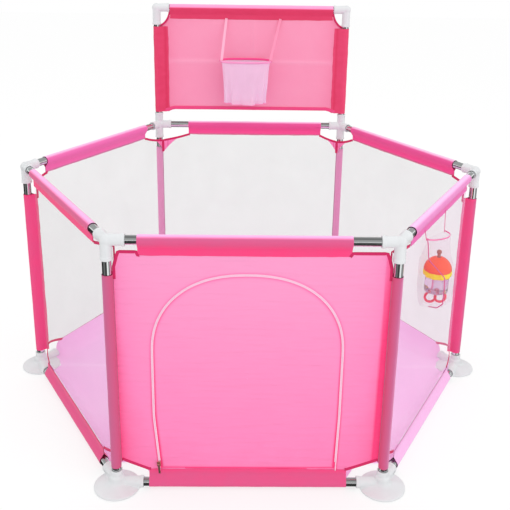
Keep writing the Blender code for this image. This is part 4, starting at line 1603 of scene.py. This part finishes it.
def build_toy():
    """A rattle: an orange dome with a knob, a yellow collar, a clear drum with beads, and two rings."""
    place = side_frame(POUCH_SIDE) @ Matrix.Translation((TOY_X, -TOY_OUT, 0))
    top = COLLAR_Z + COLLAR_HIGH
    dome = (
        (0.0, top + 0.0335),
        (0.010, top + 0.0325),
        (0.0175, top + 0.0290),
        (0.0245, top + 0.0235),
        (0.0300, top + 0.0165),
        (0.0335, top + 0.0085),
        (0.0350, top + 0.0010),
        (0.0340, top - 0.0020),
        (0.0, top - 0.0020),
    )
    piece = add_turned("toy_dome", dome, "orange", place)
    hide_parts("rattle_dome")
    knob = (
        (0.0, top + 0.0520),
        (0.0040, top + 0.0512),
        (0.0060, top + 0.0485),
        (0.0062, top + 0.0450),
        (0.0042, top + 0.0410),
        (0.0036, top + 0.0360),
        (0.0060, top + 0.0320),
        (0.0, top + 0.0310),
    )
    add_turned("toy_knob", knob, "brown", place, 40)
    piece = add_object("toy_collar", collar_mesh(place), "rattle")
    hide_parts("rattle_collar")
    drum = (
        (0.0, DRUM_Z),
        (DRUM_R - 0.004, DRUM_Z),
        (DRUM_R - 0.001, DRUM_Z + 0.0015),
        (DRUM_R, DRUM_Z + 0.005),
        (DRUM_R, COLLAR_Z - 0.004),
        (DRUM_R - 0.001, COLLAR_Z),
        (0.0, COLLAR_Z),
    )
    piece = add_turned("toy_drum", drum, "clear", place)
    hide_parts("rattle_drum")
    build_beads(place)
    middle = DRUM_Z - RING_R - RING_WIRE
    across_pen = place @ rotation(-60, "Z")
    normal = direction_in(across_pen, 0, 1, 0)
    section = round_section(RING_WIRE, 14)
    for end, side in ((0, "near"), (1, "far")):
        centre = Vector((RING_APART * (end - 0.5), 0, middle))
        ring = [Vector((RING_R * math.cos(angle), 0, RING_R * math.sin(angle))) for angle in turns(64)]
        path = [across_pen @ (centre + point) for point in ring]
        mesh = sweep_mesh(f"toy_ring_{side}", path, section, "coral", normal, closed=True)
        piece = add_object(f"toy_ring_{side}", mesh, "rattle")
        if end == 0:
            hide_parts("rattle_base")


def collar_mesh(place):
    """The yellow collar, with a soft scalloped rim."""
    count, around = 120, 20
    thick = 0.0065
    points = []
    for angle in turns(count):
        rim = COLLAR_R - 0.0011 * (1 - math.cos(10 * angle))
        for turn in turns(around):
            cosine, sine = math.cos(turn), math.sin(turn)
            radius = rim - thick + thick * squared_off(cosine, 0.7)
            height = COLLAR_Z + COLLAR_HIGH / 2 * (1 + squared_off(sine, 0.7))
            points.append(place @ round_at(radius, angle, height))
    return mesh_of("toy_collar", points, tube_faces(count, around, True), "yellow")


def build_beads(place):
    """Beads that lie at the bottom of the drum."""
    finishes = ("coral", "yellow", "olive", "orange")
    profile = [(0.0, -BEAD_R)]
    for s in shares(10)[1:-1]:
        profile.append((BEAD_R * math.sin(math.pi * s), -BEAD_R * math.cos(math.pi * s)))
    profile.append((0.0, BEAD_R))
    for index, angle in enumerate(turns(BEADS)):
        out = BEADS_OUT if index else 0.006
        spot = place @ Matrix.Translation(round_at(out, angle, DRUM_Z + BEADS_UP))
        finish = finishes[index % len(finishes)]
        add_turned(f"toy_bead_{index + 1}", profile, finish, spot, 20)


# ---------------------------------------------------------------- room, light and camera


def build_room():
    """A pale floor that fills the view. Shiny parts don't see it: they reflect the studio's panels."""
    mesh = bpy.data.meshes.new("ground")
    reach = 12.0
    corners = [(-reach, -reach, 0), (reach, -reach, 0), (reach, reach, 0), (-reach, reach, 0)]
    mesh.from_pydata(corners, [], [(0, 1, 2, 3)])
    ground = link_new("ground", mesh)
    material = bpy.data.materials.new("ground_paper")
    tree = Tree(material)
    tree.surface(
        {
            "Base Color": grey(0.27),
            "Roughness": 1.0,
            "Specular IOR Level": 0.0,
            "Emission Color": grey(1.0),
            "Emission Strength": 0.72,
        },
    )
    mesh.materials.append(material)
    ground.visible_glossy = False


def grey(value):
    return (value, value, value, 1.0)


# What shiny parts see of the studio, as (place, grey level): from straight down to overhead, and round the
# panels that stand low down.
HORIZON = 0.49
OVERHEAD = ((0.0, 0.04), (HORIZON, 0.04), (0.505, 1.0), (0.56, 1.0), (0.60, 0.40), (0.90, 0.36), (0.97, 0.18))
PANELS_LOW = 0.22
PANELS = (
    (0.0, 0.03), (0.04, 0.03), (0.06, 0.17), (0.15, 0.17), (0.18, 0.05), (0.28, 0.05), (0.30, 1.0),
    (0.39, 1.0), (0.41, 0.08), (0.45, 0.32), (0.58, 0.32), (0.62, 0.10), (0.74, 0.10), (0.78, 0.03),
)


def grey_ramp(tree, factor, levels):
    return tree.ramp(factor, [(place, grey(level)) for place, level in levels])


def pick_colour(tree, factor, first, second):
    """The first colour where the factor is 0 and the second where it is 1."""
    node = tree.add("Mix", data_type="RGBA")
    for socket, value in ((0, factor), (6, first), (7, second)):
        tree.feed(node.inputs[socket], value)
    return node.outputs[2]


def build_studio_light():
    """White all round for the eye and for matt surfaces. Shiny surfaces see dark and light studio panels."""
    world = bpy.data.worlds.new("studio")
    bpy.context.scene.world = world
    tree = Tree(world)
    direction = tree.add("TexCoord").outputs["Generated"]
    split = tree.add("SeparateXYZ", {"Vector": direction}).outputs
    height = tree.math("MULTIPLY_ADD", split["Z"], 0.5, 0.5)
    turn = tree.math("MULTIPLY_ADD", tree.math("ARCTAN2", split["Y"], split["X"]), 0.5 / math.pi, 0.5)
    below = tree.math("LESS_THAN", height, HORIZON)
    above = tree.math("GREATER_THAN", height, PANELS_LOW)
    low_down = tree.math("MULTIPLY", below, above)
    panels = grey_ramp(tree, turn, PANELS)
    seen_by_metal = pick_colour(tree, low_down, grey_ramp(tree, height, OVERHEAD), panels)
    glossy = tree.add("LightPath").outputs["Is Glossy Ray"]
    shown = pick_colour(tree, glossy, grey(1.0), seen_by_metal)
    background = tree.add("Background", {"Color": shown, "Strength": 1.0})
    tree.add("OutputWorld", {"Surface": background.outputs[0]})


# Each lamp's name, place, power in watts and size.
LAMPS = (
    ("key_light", (2.2, -2.6, 3.6), 26.0, 2.4),
    ("top_light", (-0.6, 0.4, 4.2), 14.0, 3.0),
)


def build_lamps():
    for name, place, power, size in LAMPS:
        data = bpy.data.lights.new(name, "AREA")
        data.energy, data.size = power, size
        lamp = link_new(name, data)
        target = Vector((0, 0, 0.4))
        lamp.location = place
        lamp.rotation_euler = (target - Vector(place)).to_track_quat("-Z", "Y").to_euler()
        lamp.visible_glossy = False


# The camera that fits the pen's corner points
CAMERA_AT = (-0.0254, -2.1105, 1.2578)
CAMERA_TURN = (0.99, 18.13, 0.86)  # yaw to the right, pitch down and roll, in degrees
LENS = 54.49
LENS_SHIFT = -0.12


def build_camera():
    """Stands in front of the door, a little above the pen, and looks down."""
    yaw, pitch, roll = (math.radians(angle) for angle in CAMERA_TURN)
    forward = Vector((math.sin(yaw) * math.cos(pitch), math.cos(yaw) * math.cos(pitch), -math.sin(pitch)))
    level_right = Vector((math.cos(yaw), -math.sin(yaw), 0))
    level_up = level_right.cross(forward)
    right = level_right * math.cos(roll) + level_up * math.sin(roll)
    up = level_up * math.cos(roll) - level_right * math.sin(roll)
    data = bpy.data.cameras.new("camera")
    data.lens = LENS
    data.sensor_width = 36.0
    data.shift_y = LENS_SHIFT
    camera = link_new("camera", data)
    turn = Matrix((right, up, -forward)).transposed().to_4x4()
    camera.matrix_world = Matrix.Translation(CAMERA_AT) @ turn
    bpy.context.scene.camera = camera


def finish_carried_nodes():
    """Better finishes for the two zip parts that keep their CAD shape."""
    for name in ("zip_slider", "zip_pull"):
        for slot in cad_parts[name].material_slots:
            slot.material = MATERIALS["brass"]


build_room()
build_studio_light()
build_lamps()
build_camera()
build_tubes()
build_top_connectors()
build_feet()
build_elbows()
build_rail_sleeves()
build_post_sleeves()
for side_index in range(1, len(SIDES)):
    build_mesh_side(side_index)
build_front()
build_floor()
build_board()
build_hoop()
build_pouch()
build_toy()
finish_carried_nodes()
bpy.context.scene.view_settings.view_transform = "Standard"
